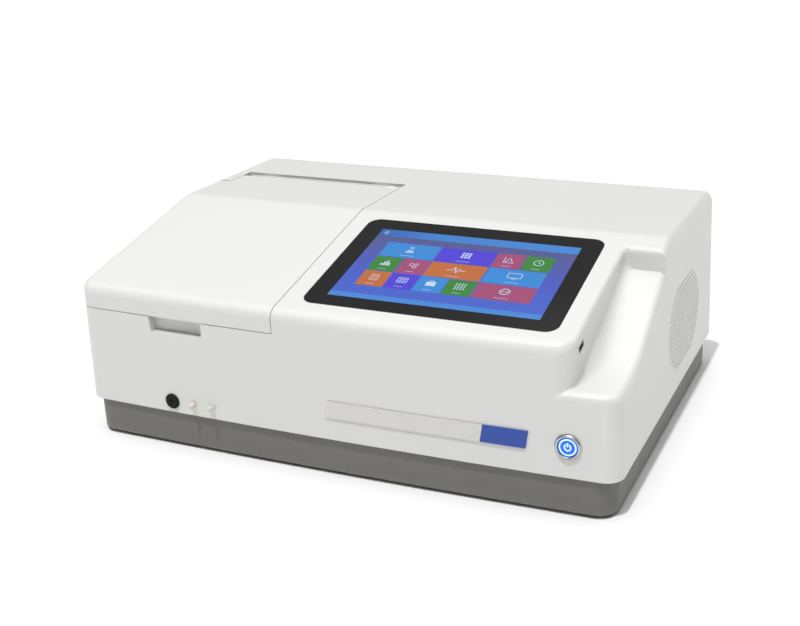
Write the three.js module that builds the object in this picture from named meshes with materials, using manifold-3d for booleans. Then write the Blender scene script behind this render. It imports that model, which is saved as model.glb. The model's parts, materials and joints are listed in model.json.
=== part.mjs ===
// Benchtop double-beam spectrophotometer: a moulded casing on a sheet-metal base, with a lid over
// the sample compartment, a sloping touch display and the optics inside.
// Millimetres. +X to the right, +Y to the back, +Z up. The origin is at the middle of the footprint,
// on the surface that the feet stand on.
import * as THREE from 'three';
import { mergeVertices } from 'three/addons/utils/BufferGeometryUtils.js';
import Module from 'manifold-3d';

const wasm = await Module();
wasm.setup();

// ---- Fits ----
const touch = 0.3; // gap between two pieces that rest on each other
const slip = 0.4; // gap round a piece that moves or drops into a hole

// ---- Casing ----
const caseWidth = 580;
const caseDepth = 411; // at the front corners; the bowed front stands forward of them
const caseTopZ = 212.2;
const caseWall = 3;
const caseCorner = 18; // vertical corners, seen from above
const frontBow = 4.5;
const sideDraft = 0.03; // sides lean in by this much for each millimetre of height
const foldZ = 166.2; // where the front wall would meet the slope
const slopeRun = 197.5; // from the front corners back to the flat top
const foldRadius = 9.5; // along the top of the front and the sides
const kinkRadius = 25; // between the slope and the flat top
const rearEdgeRadius = 31;

// ---- Base pan and feet ----
const footHeight = 4;
const footRadius = 12;
const footInset = 42;
const baseHeight = 35.7; // wall that shows below the casing
const baseWall = 2;
const baseInset = 5.2; // from the casing's side
const baseSetback = 2.4; // from the casing's front corners
const baseCorner = 21;
const baseBow = 3.6;
const baseLip = 5; // height of the lip inside the casing

// ---- Side screws ----
const sideScrewRadius = 2;
const sideScrewHead = 4;
const sideScrewDrop = 5.5; // below the casing's edge
const sideScrewFront = 64; // from the front corners
const sideScrewRear = 101; // from the rear
const tabWidth = 20;
const tabThickness = 4;

// ---- Shelf in the right side ----
const shelfWidth = 45.5;
const shelfDepth = 171; // from the front corners back to its rear wall
const shelfFrontZ = 123.5;
const shelfFlat = 60; // level stretch before the ramp
const shelfBend = 150; // radius between the level stretch and the ramp
const shelfRamp = THREE.MathUtils.degToRad(28.8);
const shelfCorner = 20; // where its left wall turns into the front
const shelfInnerCorner = 6; // where its left wall meets its rear wall
const shelfEdge = 8; // rounding of its floor's outer edges
const shelfTopEdge = 5; // rounding where its walls meet the top
const shelfCove = { front: 1.5, middle: 22, rear: 8 }; // between its left wall and its floor
const usbFromFront = 27.5;
const usbBelowFold = 9.2;
const usbSize = [15, 7.6, 13.5]; // along the slope, across it, deep
const usbMouth = [12.5, 5, 10.5];

// ---- Display ----
const displayToShelf = 20.7;
const glassWidth = 258;
const glassLength = 167;
const glassThickness = 3;
const glassCorner = 13;
const glassFromFold = 18.6;
const glassProud = 0.2;
const panelWidth = 232;
const panelLength = 148;
const panelThickness = 6;
const panelMargin = 3; // free space round the display panel in its window

// ---- Lid ----
const lidToDisplay = 20.6;
const lidGapZ = 142.3; // middle of the gap between the lid's skirt and the casing
const seamGap = 0.8;
const lidWall = 3;
const lidLength = 292; // from the front corners back to the rear edge
const hingeSlot = 17.5;
const jogWidth = 25.7; // strip along the left side where the lid ends sooner
const jogLength = 264.5;

// ---- Lid hinge ----
const hingePinRadius = 2;
const hingeDrop = 10; // pin below the flat top
const hingeBack = 8; // pin behind the lid's rear edge
const hingeArm = 8; // width of the lid's arm
const hingeLug = 5; // width of each casing lug
const hingeEye = 5; // outer radius round the pin
const hingeFromSide = 30;
const hingeArmReach = 20;

// ---- Finger notch ----
const notchFromSide = 93;
const notchWidth = 60.5;
const notchHeight = 16.3;
const notchDepth = 9;
const notchSlant = 2.6; // its left end leans out by this much at the top

// ---- Front fittings; a rise is measured from the casing's lower edge ----
const plugFromSide = 110;
const plugRise = 12.3;
const plugRadius = 8.2;
const plugStemRadius = 5.5;
const portFromSide = 136;
const portPitch = 22;
const portRise = 12.4;
const portCapRadius = 2.8;
const portCapLength = 7.5;
const portTubeRadius = 1.4;
const portNut = 5;
const buttonFromSide = 48;
const buttonRise = 31.3;
const buttonRadius = 12.5;
const buttonBarrel = 11;
const buttonCapRadius = 9.4;
const buttonTravel = 1.6;
const buttonBodyLength = 22;
const stripRise = 32.7;
const stripHeight = 17.6;
const stripLength = 159;
const labelLength = 43.5;
const labelFromSide = 86.5;
const stripSlant = 2.8;
const stripThickness = 1.2;

// ---- Louvres in the right side ----
const louvreCount = 18;
const louvrePitch = 5;
const louvreSlit = 1.4;
const louvreRise = 66.3;
const louvreFromRear = 154;
const louvreHalfLength = 71;
const louvreHalfHeight = 50;

// ---- Rear panel and its fittings ----
const rearWindow = { fromLeft: 60, fromRight: 40, rise: 10.3, fromTop: 67.2 };
const rearPanelThickness = 1.5;
const rearPanelEdge = 8;
const inletFromLeft = 100;
const inletRise = 44.3;
const inletFlange = [31, 39, 2];
const inletBody = [27, 33, 22];
const inletMouth = [24, 16, 16];
const fuseSlot = [20, 7, 18];
const inletWall = 1.5;
const usbBFromInlet = 58;
const usbBBody = [12, 11, 16];
const usbBMouth = [8.4, 7.8, 9];
const serialFromInlet = 108;
const serialFlange = [31, 12.5, 1.2];
const serialShell = [17, 8.4, 5.5];
const socketRise = 38.3;
const fanSize = 80;
const fanDepth = 25;
const fanFromRight = 92;
const fanRise = 7; // fan above the rear window's lower edge
const fanBlades = 7;
const fanHub = 16;

// ---- Sample compartment ----
const beamBelowDeck = 47; // height from the light beams up to the deck
const wellFromSide = 55;
const wellToSeam = 30;
const wellFromFront = 31;
const wellLength = 224;
const wellBelowBeam = 45;
const wellWall = 2;
const wellFlange = 6;
const beamHole = 6;
const sampleBeam = 112; // from the well's front
const beamSpacing = 90;
const cellSize = 12.5;
const cellHeight = 45;
const cellWall = 1.25;
const cellBelowBeam = 15;
const cellPitch = 20;
const cellPockets = 4;
const cellCount = 3;
const carriageHalf = 12;
const carriageAboveBeam = 15;
const railHalf = 6;
const carriageFoot = 8; // height of the feet that straddle the rail
const screwRadius = 3;
const screwOffset = 20;
const motorSize = 36;
const detectorRadius = 13;

// ---- Optics ----
const benchBelowBeam = 59;
const benchThickness = 8;
const benchPost = 7;
const housingWall = 4;
const housingAboveBeam = 43;
const monoFromSeam = 36;
const monoWidth = 168;
const monoDepth = 118;
const monoFromRear = 30;
const lampGap = 6;
const lampWidth = 100;
const lampDepth = 110;
const mirrorRadius = 25;
const mirrorThickness = 8;
const entranceFromRear = 31;
const exitFromLeft = 59;
const focusFromFront = 32;
const wheelRadius = 22;
const wheelThickness = 3;
const wheelFilters = 6;
const gratingSize = 30;

// ---- Electronics ----
const boardSize = [165, 150, 1.6];
const boardZ = 24;
const supplySize = [150, 62, 54];

// ---- Places worked out from the sizes above ----
const halfWidth = caseWidth / 2;
const caseBottomZ = footHeight + baseHeight;
const plugZ = caseBottomZ + plugRise;
const portZ = caseBottomZ + portRise;
const buttonZ = caseBottomZ + buttonRise;
const stripZ = caseBottomZ + stripRise;
const louvreZ = caseBottomZ + louvreRise;
const windowZ = [caseBottomZ + rearWindow.rise, caseTopZ - rearWindow.fromTop];
const inletZ = caseBottomZ + inletRise;
const socketZ = caseBottomZ + socketRise;
const fanZ = windowZ[0] + fanRise + fanSize / 2;
const slopeAngle = Math.atan((caseTopZ - foldZ) / slopeRun);
const portX = [-halfWidth + portFromSide, -halfWidth + portFromSide + portPitch];
const panelRecess = caseWall + touch; // outer face of the rear panel, in from the casing's rear
const serialProud = touch + serialFlange[2] + serialShell[2] - panelRecess;
const portProud = bowAt(portX[1] + portCapRadius) + touch + portCapLength;
const caseMidY = (portProud - serialProud) / 2; // puts the footprint's middle at the origin
const frontY = caseMidY - caseDepth / 2;
const rearY = caseMidY + caseDepth / 2;
const shelfWallX = halfWidth - shelfWidth;
const shelfRearY = frontY + shelfDepth;
const glassX = shelfWallX - displayToShelf - glassWidth / 2;
const seamX = glassX - glassWidth / 2 - lidToDisplay;
const deckZ = lidGapZ - seamGap / 2;
const beamZ = deckZ - beamBelowDeck;
const wellFloorZ = beamZ - wellBelowBeam;
const carriageTopZ = beamZ + carriageAboveBeam;
const benchZ = beamZ - benchBelowBeam;
const housingTopZ = beamZ + housingAboveBeam;
const lidRearY = frontY + lidLength;
const slotRearY = lidRearY + hingeSlot;
const jogX = -halfWidth + jogWidth;
const jogY = frontY + jogLength;
const hingeY = lidRearY + hingeBack;
const hingeZ = caseTopZ - hingeDrop;
const hingeX = [jogX + hingeFromSide, seamX - hingeFromSide];
const wellLeft = -halfWidth + wellFromSide;
const wellRight = seamX - wellToSeam;
const wellFront = frontY + wellFromFront;
const wellRear = wellFront + wellLength;
const cellX = (wellLeft + wellRight) / 2;
const sampleY = wellFront + sampleBeam;
const referenceY = sampleY + beamSpacing;
const cellZ = beamZ - cellBelowBeam;
const carriageZ = cellZ - carriageFoot;
const screwX = cellX + screwOffset;
const screwZ = carriageZ - carriageFoot / 2;
const monoLeft = seamX + monoFromSeam;
const monoRight = monoLeft + monoWidth;
const monoRear = rearY - monoFromRear;
const monoFront = monoRear - monoDepth;
const lampLeft = monoRight + lampGap;
const housingZ = benchZ + benchThickness + touch;
const entranceY = monoRear - entranceFromRear;
const exitX = monoLeft + exitFromLeft;
const baseFloorZ = footHeight + baseWall;
const panelY = rearY - panelRecess;
const inletX = -halfWidth + inletFromLeft;
const fanX = halfWidth - fanFromRight;

// How far the bowed front stands forward of the front corners at x.
function bowAt(x) {
  return frontBow * (1 - (x / (halfWidth - caseCorner)) ** 2);
}

// ---- Geometry helpers ----
const axis = {
  x: new THREE.Vector3(1, 0, 0),
  y: new THREE.Vector3(0, 1, 0),
  z: new THREE.Vector3(0, 0, 1),
};
const far = 2000;

function extruded(shape, depth, curveSegments) {
  return new THREE.ExtrudeGeometry(shape, { depth, bevelEnabled: false, curveSegments });
}

// An outline in (y, z) carried along X.
function alongX(shape, x0, x1, curveSegments = 6) {
  const turn = new THREE.Matrix4().makeBasis(axis.y, axis.z, axis.x);
  return extruded(shape, x1 - x0, curveSegments).applyMatrix4(turn).translate(x0, 0, 0);
}

// An outline in (x, z) carried along Y.
function alongY(shape, y0, y1, curveSegments = 6) {
  const turn = new THREE.Matrix4().makeBasis(axis.x, axis.z, axis.y.clone().negate());
  return extruded(shape, y1 - y0, curveSegments).applyMatrix4(turn).translate(0, y1, 0);
}

// An outline in (x, y) carried along Z.
function alongZ(shape, z0, z1, curveSegments = 6) {
  return extruded(shape, z1 - z0, curveSegments).translate(0, 0, z0);
}

// A closed geometry as a solid that can be joined and cut.
function solid(geometry) {
  const bare = geometry.clone();
  bare.deleteAttribute('normal');
  bare.deleteAttribute('uv');
  const merged = mergeVertices(bare, 1e-4);
  const vertProperties = merged.attributes.position.array;
  const triVerts = new Uint32Array(wholeTriangles(merged.index.array));
  return new wasm.Manifold(new wasm.Mesh({ numProp: 3, vertProperties, triVerts }));
}

// Leaves out the triangles whose corners were merged into one.
function wholeTriangles(index) {
  const kept = [];
  for (let i = 0; i < index.length; i += 3) {
    const [a, b, c] = index.slice(i, i + 3);
    if (a !== b && b !== c && c !== a) kept.push(a, b, c);
  }
  return kept;
}

function geometryOf(body) {
  const { vertProperties, triVerts } = body.getMesh();
  const geometry = new THREE.BufferGeometry();
  geometry.setAttribute('position', new THREE.BufferAttribute(vertProperties, 3));
  geometry.setIndex(new THREE.BufferAttribute(triVerts, 1));
  geometry.computeVertexNormals();
  return geometry;
}

function join(first, ...rest) {
  return rest.reduce((whole, piece) => whole.add(piece), first);
}

function cut(first, ...rest) {
  return rest.reduce((whole, piece) => whole.subtract(piece), first);
}

function block([x0, x1], [y0, y1], [z0, z1]) {
  const box = new THREE.BoxGeometry(x1 - x0, y1 - y0, z1 - z0);
  return solid(box.translate((x0 + x1) / 2, (y0 + y1) / 2, (z0 + z1) / 2));
}

// A block by its middle and its size.
function centred([x, y, z], [dx, dy, dz]) {
  return solid(new THREE.BoxGeometry(dx, dy, dz).translate(x, y, z));
}

function rodX(radius, [x0, x1], y, z, sides = 20) {
  const rod = new THREE.CylinderGeometry(radius, radius, x1 - x0, sides).rotateZ(-Math.PI / 2);
  return solid(rod.translate((x0 + x1) / 2, y, z));
}

function rodY(radius, x, [y0, y1], z, sides = 20) {
  const rod = new THREE.CylinderGeometry(radius, radius, y1 - y0, sides);
  return solid(rod.translate(x, (y0 + y1) / 2, z));
}

function rodZ(radius, x, y, [z0, z1], sides = 20) {
  const rod = new THREE.CylinderGeometry(radius, radius, z1 - z0, sides).rotateX(Math.PI / 2);
  return solid(rod.translate(x, y, (z0 + z1) / 2));
}

// A profile of [radius, height] points, anticlockwise, turned about Y.
function turned(profile, sides = 28) {
  return new THREE.LatheGeometry(profile.map(([r, h]) => new THREE.Vector2(r, h)), sides);
}

// A closed outline through corners [x, y, radius], each corner rounded by its own radius.
function outline(corners) {
  const shape = new THREE.Shape();
  corners.forEach((corner, i) => {
    const here = new THREE.Vector2(corner[0], corner[1]);
    if (!corner[2]) {
      draw(shape, i, here.x, here.y);
      return;
    }
    const before = directionTo(corners.at(i - 1), here);
    const after = directionTo(corners[(i + 1) % corners.length], here);
    const arc = cornerArc(here, before, after, corner[2]);
    draw(shape, i, arc.x + corner[2] * Math.cos(arc.start), arc.y + corner[2] * Math.sin(arc.start));
    shape.absarc(arc.x, arc.y, corner[2], arc.start, arc.end, before.cross(after) > 0);
  });
  return shape;
}

function draw(shape, i, x, y) {
  if (i) shape.lineTo(x, y);
  else shape.moveTo(x, y);
}

function directionTo(corner, here) {
  return new THREE.Vector2(corner[0], corner[1]).sub(here).normalize();
}

// The arc that rounds a corner between the directions to its two neighbours.
function cornerArc(here, before, after, radius) {
  const half = Math.acos(before.dot(after)) / 2;
  const reach = radius / Math.tan(half);
  const middle = before.clone().add(after).normalize().multiplyScalar(radius / Math.sin(half)).add(here);
  const start = before.clone().multiplyScalar(reach).add(here).sub(middle);
  const end = after.clone().multiplyScalar(reach).add(here).sub(middle);
  return { x: middle.x, y: middle.y, start: start.angle(), end: end.angle() };
}

function roundedRectangle(width, height, radius) {
  const x = width / 2;
  const y = height / 2;
  return outline([[-x, -y, radius], [x, -y, radius], [x, y, radius], [-x, y, radius]]);
}

// Sides lean in as they rise.
function drafted(geometry) {
  const position = geometry.getAttribute('position');
  for (let i = 0; i < position.count; i++) {
    const lean = (sideDraft * (position.getZ(i) - caseBottomZ)) / halfWidth;
    position.setX(i, position.getX(i) * (1 - lean));
  }
  return geometry;
}

// The slope's own frame: x across, y up the slope from the fold, z out of its surface.
function slopePlacement() {
  return new THREE.Matrix4()
    .makeRotationX(slopeAngle)
    .setPosition(0, frontY, foldZ);
}

function onSlope(geometry) {
  return solid(geometry.applyMatrix4(slopePlacement()));
}

// ---- Scene graph ----
const part = new THREE.Group();

const finishes = {
  whiteShell: [0xeeeeea, 0.38, 0],
  greyPaint: [0x6e6e69, 0.55, 0.1],
  blackGlass: [0x141416, 0.08, 0],
  screen: [0x3a66c4, 0.3, 0],
  silver: [0xc9cacd, 0.35, 0.9],
  blueLabel: [0x1f5fb8, 0.35, 0],
  steel: [0xb9bbbd, 0.3, 1],
  litBlue: [0x2a7bff, 0.3, 0],
  blackRubber: [0x151515, 0.8, 0],
  whitePlastic: [0xe9e4e0, 0.45, 0],
  blackPlastic: [0x1d1d1f, 0.5, 0],
  darkAnodised: [0x2b2c2f, 0.45, 0.7],
  aluminium: [0xaeb1b4, 0.45, 0.9],
  quartz: [0xdfe8ee, 0.05, 0],
  mirror: [0xe6e8ea, 0.05, 1],
  brass: [0xb08d4f, 0.35, 1],
  greenBoard: [0x1f5b3a, 0.6, 0],
  zinc: [0xa4a8aa, 0.5, 0.8],
};

function material(finish) {
  const [color, roughness, metalness] = finishes[finish];
  return new THREE.MeshStandardMaterial({ color, roughness, metalness });
}

function add(name, shape, finish, parent = part) {
  const geometry = shape.isBufferGeometry ? shape : geometryOf(shape);
  const mesh = new THREE.Mesh(geometry, material(finish));
  mesh.name = name;
  parent.add(mesh);
  return mesh;
}

// A nested frame at a place, for pieces drawn round their own origin.
function frameAt(x, y, z) {
  const group = new THREE.Group();
  group.position.set(x, y, z);
  part.add(group);
  return group;
}

// ---- The casing's form ----

// Seen from above: straight sides and rear, rounded corners and a front bowed out by bow.
function planOutline({ half, front, rear, corner, bow }) {
  const shape = new THREE.Shape();
  const inner = half - corner;
  shape.moveTo(-inner, front);
  shape.quadraticCurveTo(0, front - 2 * bow, inner, front);
  shape.absarc(inner, front + corner, corner, -Math.PI / 2, 0);
  shape.absarc(inner, rear - corner, corner, 0, Math.PI / 2);
  shape.absarc(-inner, rear - corner, corner, Math.PI / 2, Math.PI);
  shape.absarc(-inner, front + corner, corner, Math.PI, 1.5 * Math.PI);
  return shape;
}

function casePlan(inset) {
  return planOutline({
    half: halfWidth - inset,
    front: frontY + inset,
    rear: rearY - inset,
    corner: Math.max(caseCorner - inset, 1),
    bow: frontBow,
  });
}

// Height of the slope's plane at y, taken in by inset.
function slopeZ(y, inset) {
  return foldZ + (y - frontY) * Math.tan(slopeAngle) - inset / Math.cos(slopeAngle);
}

// The cavity, seen from the side: front wall, slope, flat top and rear wall.
function sideOutline(inset) {
  const front = frontY - frontBow + inset;
  const top = caseTopZ - inset;
  const kinkY = frontY + (top - foldZ + inset / Math.cos(slopeAngle)) / Math.tan(slopeAngle);
  return outline([
    [front, -far],
    [front, slopeZ(front, inset), Math.max(foldRadius - inset, 1)],
    [kinkY, top],
    [rearY - inset, top, Math.max(rearEdgeRadius - inset, 1)],
    [rearY - inset, -far],
  ]);
}

// The cavity, seen from the front: a surface with its two long edges rounded.
function edgeOutline(inset, surface) {
  const half = halfWidth - inset;
  const radius = Math.max(foldRadius - inset, 1);
  return outline([
    [-half, surface - inset - far],
    [-half, surface - inset, radius],
    [half, surface - inset, radius],
    [half, surface - inset - far],
  ]);
}

// The casing's form taken in by inset on every face, open below.
function caseCavity(inset) {
  const plan = solid(alongZ(casePlan(inset), caseBottomZ - 1, caseTopZ + frontBow));
  const side = solid(alongX(sideOutline(inset), -far, far));
  const flatEdges = solid(alongY(edgeOutline(inset, caseTopZ), -far, far));
  const slopeEdges = onSlope(alongY(edgeOutline(inset, 0), -far, far));
  return solid(drafted(geometryOf(plan.intersect(side).intersect(flatEdges).intersect(slopeEdges))));
}

// ---- The casing's outside: one height field over rows from front to rear ----
const roundSteps = 6; // facets in a quarter round
const middleSteps = 8; // facets across the width between the rounded edges

// Places across a quarter round of this radius, from its edge inwards.
function roundPlaces(radius, steps = roundSteps) {
  const places = [];
  for (let i = 0; i <= steps; i++) places.push(radius * (1 - Math.cos((i / steps) * Math.PI / 2)));
  return places;
}

// How far a rounded edge has dropped at this distance in from it.
function drop(distance, radius) {
  if (distance >= radius) return 0;
  return radius - Math.sqrt(radius ** 2 - (radius - Math.max(distance, 0)) ** 2);
}

// Half the width at y, where the plan's rounded corners take it in.
function halfWidthAt(y) {
  const past = Math.max(frontY + caseCorner - y, y - rearY + caseCorner, 0);
  return halfWidth - caseCorner + Math.sqrt(Math.max(caseCorner ** 2 - past ** 2, 0));
}

// Height of the top along the middle: slope, kink, flat and rear edge.
function topAt(y) {
  const reach = kinkRadius * Math.tan(slopeAngle / 2);
  const kinkEnd = frontY + slopeRun + reach;
  const kinkStart = kinkEnd - kinkRadius * Math.sin(slopeAngle);
  if (y < kinkStart) return slopeZ(y, 0);
  if (y < kinkEnd) return caseTopZ - kinkRadius + Math.sqrt(kinkRadius ** 2 - (kinkEnd - y) ** 2);
  const past = Math.max(y - rearY + rearEdgeRadius, 0);
  return caseTopZ - rearEdgeRadius + Math.sqrt(Math.max(rearEdgeRadius ** 2 - past ** 2, 0));
}

// Distance in from the front and a corner of this radius whose side lies at x = side.
function insideCorner(x, y, side, radius) {
  const across = x - side + radius;
  const ahead = frontY + radius - y;
  if (across > 0 && ahead > 0) return radius - Math.hypot(across, ahead);
  return radius - Math.max(across, ahead);
}

// The shelf's left wall at y: it turns into the front, and meets the rear wall in a small round.
function shelfWallAt(y) {
  const ahead = Math.min(Math.max(frontY + shelfCorner - y, 0), shelfCorner);
  const behind = Math.min(Math.max(y - shelfRearY + shelfInnerCorner, 0), shelfInnerCorner);
  return shelfWallX - shelfCorner + Math.sqrt(shelfCorner ** 2 - ahead ** 2)
    + shelfInnerCorner - Math.sqrt(shelfInnerCorner ** 2 - behind ** 2);
}

// The shelf's floor at y: level, a bend and a ramp.
function shelfFloorAt(y) {
  const reach = shelfBend * Math.tan(shelfRamp / 2);
  const past = y - frontY - shelfFlat;
  if (past < -reach) return shelfFrontZ;
  const bendEnd = reach * Math.cos(shelfRamp);
  if (past > bendEnd) return shelfFrontZ + past * Math.tan(shelfRamp);
  return shelfFrontZ + shelfBend - Math.sqrt(shelfBend ** 2 - (past + reach) ** 2);
}

function shelfCoveAt(y) {
  const rise = THREE.MathUtils.smoothstep(y, frontY + shelfCorner / 2, frontY + shelfFlat);
  const fall = THREE.MathUtils.smoothstep(y, frontY + shelfFlat, shelfRearY);
  const { front, middle, rear } = shelfCove;
  return front + (middle - front) * rise - (middle - rear) * fall;
}

function wallEdgeAt(y) {
  return THREE.MathUtils.lerp(foldRadius, shelfTopEdge,
    THREE.MathUtils.smoothstep(y, frontY, frontY + shelfCorner));
}

// Height of the body's top at x in a row; past the shelf it is rounded down to the shelf's edges.
function bodyHeight(x, row) {
  const y = row.y - frontBulge(x, row.y);
  const wall = shelfWallAt(Math.min(row.y, shelfRearY));
  const behind = Math.max(row.y - shelfRearY, 0);
  const inCorner = x > shelfWallX - shelfCorner && row.y < frontY + shelfCorner;
  const toWall = inCorner
    ? insideCorner(x, row.y, shelfWallX, shelfCorner)
    : Math.hypot(Math.max(wall - x, 0), behind);
  const toEdge = row.y > frontY + caseCorner
    ? halfWidthAt(row.y) - Math.abs(x)
    : insideCorner(row.behind ? Math.abs(x) : -x, row.y, halfWidth, caseCorner);
  const edgeDrop = inCorner ? 0 : drop(toEdge, foldRadius);
  return topAt(y) - Math.hypot(edgeDrop, drop(toWall, wallEdgeAt(row.y)));
}

// Height of the shelf's floor: rounded off at its outer edges, with a cove up its left wall.
function shelfHeight(x, row) {
  const cove = shelfCoveAt(row.y);
  const toEdge = row.y > frontY + caseCorner
    ? halfWidthAt(row.y) - x
    : insideCorner(x, row.y, halfWidth, caseCorner);
  return shelfFloorAt(row.y) - drop(toEdge, shelfEdge) + drop(x - shelfWallAt(row.y), cove);
}

// How far the bow moves a point of the front forward; it fades out up the slope.
function frontBulge(x, y) {
  const fade = 1 - THREE.MathUtils.clamp((y - frontY - caseCorner) / (slopeRun - 2 * caseCorner), 0, 1);
  return Math.max(bowAt(x), 0) * fade;
}

// Rows run from front to rear; the shelf's rear wall has one row before it and one behind it.
function caseRows() {
  const ys = [
    ...roundPlaces(foldRadius).map((d) => frontY + d),
    ...[0.7, 0.85, 1].map((share) => frontY + caseCorner * share),
    ...roundPlaces(rearEdgeRadius, 8).map((d) => rearY - d),
  ];
  const reach = shelfBend * Math.tan(shelfRamp / 2);
  for (let i = 0; i <= 7; i++) ys.push(frontY + shelfFlat - reach + (i / 7) * reach * 1.88);
  for (let i = 0; i < 4; i++) ys.push(shelfRearY - shelfInnerCorner * (1 - Math.sin(i * Math.PI / 8)));
  roundPlaces(shelfTopEdge, 4).slice(1).forEach((d) => ys.push(shelfRearY + d));
  for (let i = -1; i <= 1; i++) ys.push(frontY + slopeRun + i * kinkRadius * Math.tan(slopeAngle / 2));
  const rows = ys.map((y) => ({ y, behind: y > shelfRearY }));
  rows.push({ y: shelfRearY, behind: false }, { y: shelfRearY, behind: true });
  return rows.sort((a, b) => a.y - b.y || a.behind - b.behind);
}

// Columns of one row from left to right, as points [x, height].
function caseColumns(row) {
  const edge = halfWidthAt(row.y);
  const wall = shelfWallAt(Math.min(row.y, shelfRearY));
  const topEdge = wallEdgeAt(row.y);
  const left = roundPlaces(foldRadius).map((d) => -edge + d);
  const middle = [];
  for (let i = 1; i < middleSteps; i++) {
    middle.push(THREE.MathUtils.lerp(-edge + foldRadius, wall - topEdge, i / middleSteps));
  }
  const body = [...left, ...middle, ...roundPlaces(topEdge).reverse().map((d) => wall - d)];
  const cove = roundPlaces(row.behind ? shelfCove.rear : shelfCoveAt(row.y)).map((d) => wall + d);
  const side = roundPlaces(row.behind ? foldRadius : shelfEdge).reverse().map((d) => edge - d);
  const height = row.behind ? bodyHeight : shelfHeight;
  return [...body.map((x) => [x, bodyHeight(x, row)]), ...[...cove, ...side].map((x) => [x, height(x, row)])];
}

// The outside of the casing and the lid together, solid, standing on the casing's lower edge.
function caseSkin() {
  const rows = caseRows().map((row) => ({ ...row, columns: caseColumns(row) }));
  const across = rows[0].columns.length - 1;
  const along = rows.length - 1;
  const grid = new THREE.BoxGeometry(1, 1, 1, across, along, 1);
  const position = grid.getAttribute('position');
  for (let i = 0; i < position.count; i++) {
    const row = rows[Math.round((position.getY(i) + 0.5) * along)];
    const [x, height] = row.columns[Math.round((position.getX(i) + 0.5) * across)];
    const z = position.getZ(i) > 0 ? height : caseBottomZ;
    position.setXYZ(i, leaned(x, row.y, z), row.y - frontBulge(x, row.y), z);
  }
  return solid(grid);
}

// Where x comes to as the outer sides lean in; the shelf's left wall stays upright.
function leaned(x, y, z) {
  const lean = sideDraft * (z - caseBottomZ);
  const wall = shelfWallAt(Math.min(y, shelfRearY));
  const edge = halfWidthAt(y);
  if (x < wall) return x + (lean * (wall - x)) / (wall + edge);
  return x - (lean * (x - wall)) / (edge - wall);
}

// ---- Hollows in the casing; each can grow by a wall, to keep the inside clear of it ----

// Everything over the deck that the lid covers, with the hinge slot behind it.
function lidHollow(grow) {
  const right = seamX + seamGap / 2 + grow;
  const shape = outline([
    [-far, -far],
    [right, -far],
    [right, slotRearY + grow],
    [jogX - grow, slotRearY + grow],
    [jogX - grow, jogY + grow],
    [-far, jogY + grow],
  ]);
  return solid(alongZ(shape, deckZ - grow, far));
}

function notchHollow(grow) {
  const left = -halfWidth + notchFromSide - grow;
  const right = left + notchWidth + 2 * grow;
  const back = frontY - bowAt((left + right) / 2) + notchDepth + grow;
  const low = lidGapZ - notchHeight - grow;
  const shape = outline([[left, low], [right, low], [right, deckZ + 1], [left - notchSlant, deckZ + 1]]);
  return solid(alongY(shape, -far, back));
}

// The shelf: a level floor that bends up into a ramp, open to the front and the right.
function shelfHollow(grow) {
  const bendY = frontY + shelfFlat;
  const rear = shelfRearY + grow;
  const floor = shelfFrontZ - grow;
  const side = outline([
    [-far, floor],
    [bendY, floor, shelfBend],
    [rear, floor + (rear - bendY) * Math.tan(shelfRamp)],
    [rear, far],
    [-far, far],
  ]);
  return solid(alongX(side, -far, far)).intersect(shelfPlan(grow));
}

function shelfPlan(grow) {
  const wall = shelfWallX - grow;
  const radius = shelfCorner - grow;
  const front = frontY - bowAt(shelfWallX - shelfCorner) + grow;
  const shape = new THREE.Shape();
  shape.moveTo(far, -far);
  shape.lineTo(wall - radius, -far);
  shape.lineTo(wall - radius, front);
  shape.absarc(wall - radius, front + radius, radius, -Math.PI / 2, 0);
  shape.lineTo(wall, shelfRearY + grow);
  shape.lineTo(far, shelfRearY + grow);
  return solid(alongZ(shape, 0, far));
}

function glassPocket(grow) {
  const clear = 2 * (slip + grow);
  const shape = roundedRectangle(glassWidth + clear, glassLength + clear, glassCorner + grow);
  const depth = glassThickness - glassProud + touch + grow;
  return onSlope(alongZ(shape, -depth, far, 4).translate(glassX, glassFromFold + glassLength / 2, 0));
}

function panelWindow() {
  const shape = roundedRectangle(panelWidth + 2 * panelMargin, panelLength + 2 * panelMargin, panelMargin);
  return onSlope(alongZ(shape, -far / 10, 1, 2).translate(glassX, glassFromFold + glassLength / 2, 0));
}

// Slits whose lengths follow an ellipse.
function louvres() {
  const slits = [];
  const y = rearY - louvreFromRear;
  for (let i = 0; i < louvreCount; i++) {
    const rise = (i - (louvreCount - 1) / 2) * louvrePitch;
    const half = louvreHalfLength * Math.sqrt(1 - (rise / louvreHalfHeight) ** 2);
    const z = [louvreZ + rise - louvreSlit / 2, louvreZ + rise + louvreSlit / 2];
    slits.push(block([halfWidth - 3 * caseWall, far], [y - half, y + half], z));
  }
  return slits;
}

function rearOpening() {
  const { fromLeft, fromRight } = rearWindow;
  return block([-halfWidth + fromLeft, halfWidth - fromRight], [rearY - 2 * caseWall, far], windowZ);
}

function wellOpening() {
  return block([wellLeft - slip, wellRight + slip], [wellFront - slip, wellRear + slip],
    [deckZ - 2 * caseWall, deckZ + 1]);
}

function usbPlacement() {
  return new THREE.Matrix4()
    .makeRotationX(slopeAngle)
    .setPosition(shelfWallX, frontY + usbFromFront, foldZ - usbBelowFold);
}

function usbOpening() {
  const [length, width] = usbSize;
  const hole = new THREE.BoxGeometry(4 * caseWall, length + 2 * touch, width + 2 * touch);
  return solid(hole.applyMatrix4(usbPlacement()));
}

// The plane that touches the bowed front at the prouder edge of a round fitting at x.
function proudY(x, radius) {
  return frontY - Math.max(bowAt(x - radius), bowAt(x + radius));
}

// The plane that a fitting's spot face is cut back to: the less proud edge.
function spotY(x, radius) {
  return frontY - Math.min(bowAt(x - radius), bowAt(x + radius));
}

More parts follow.
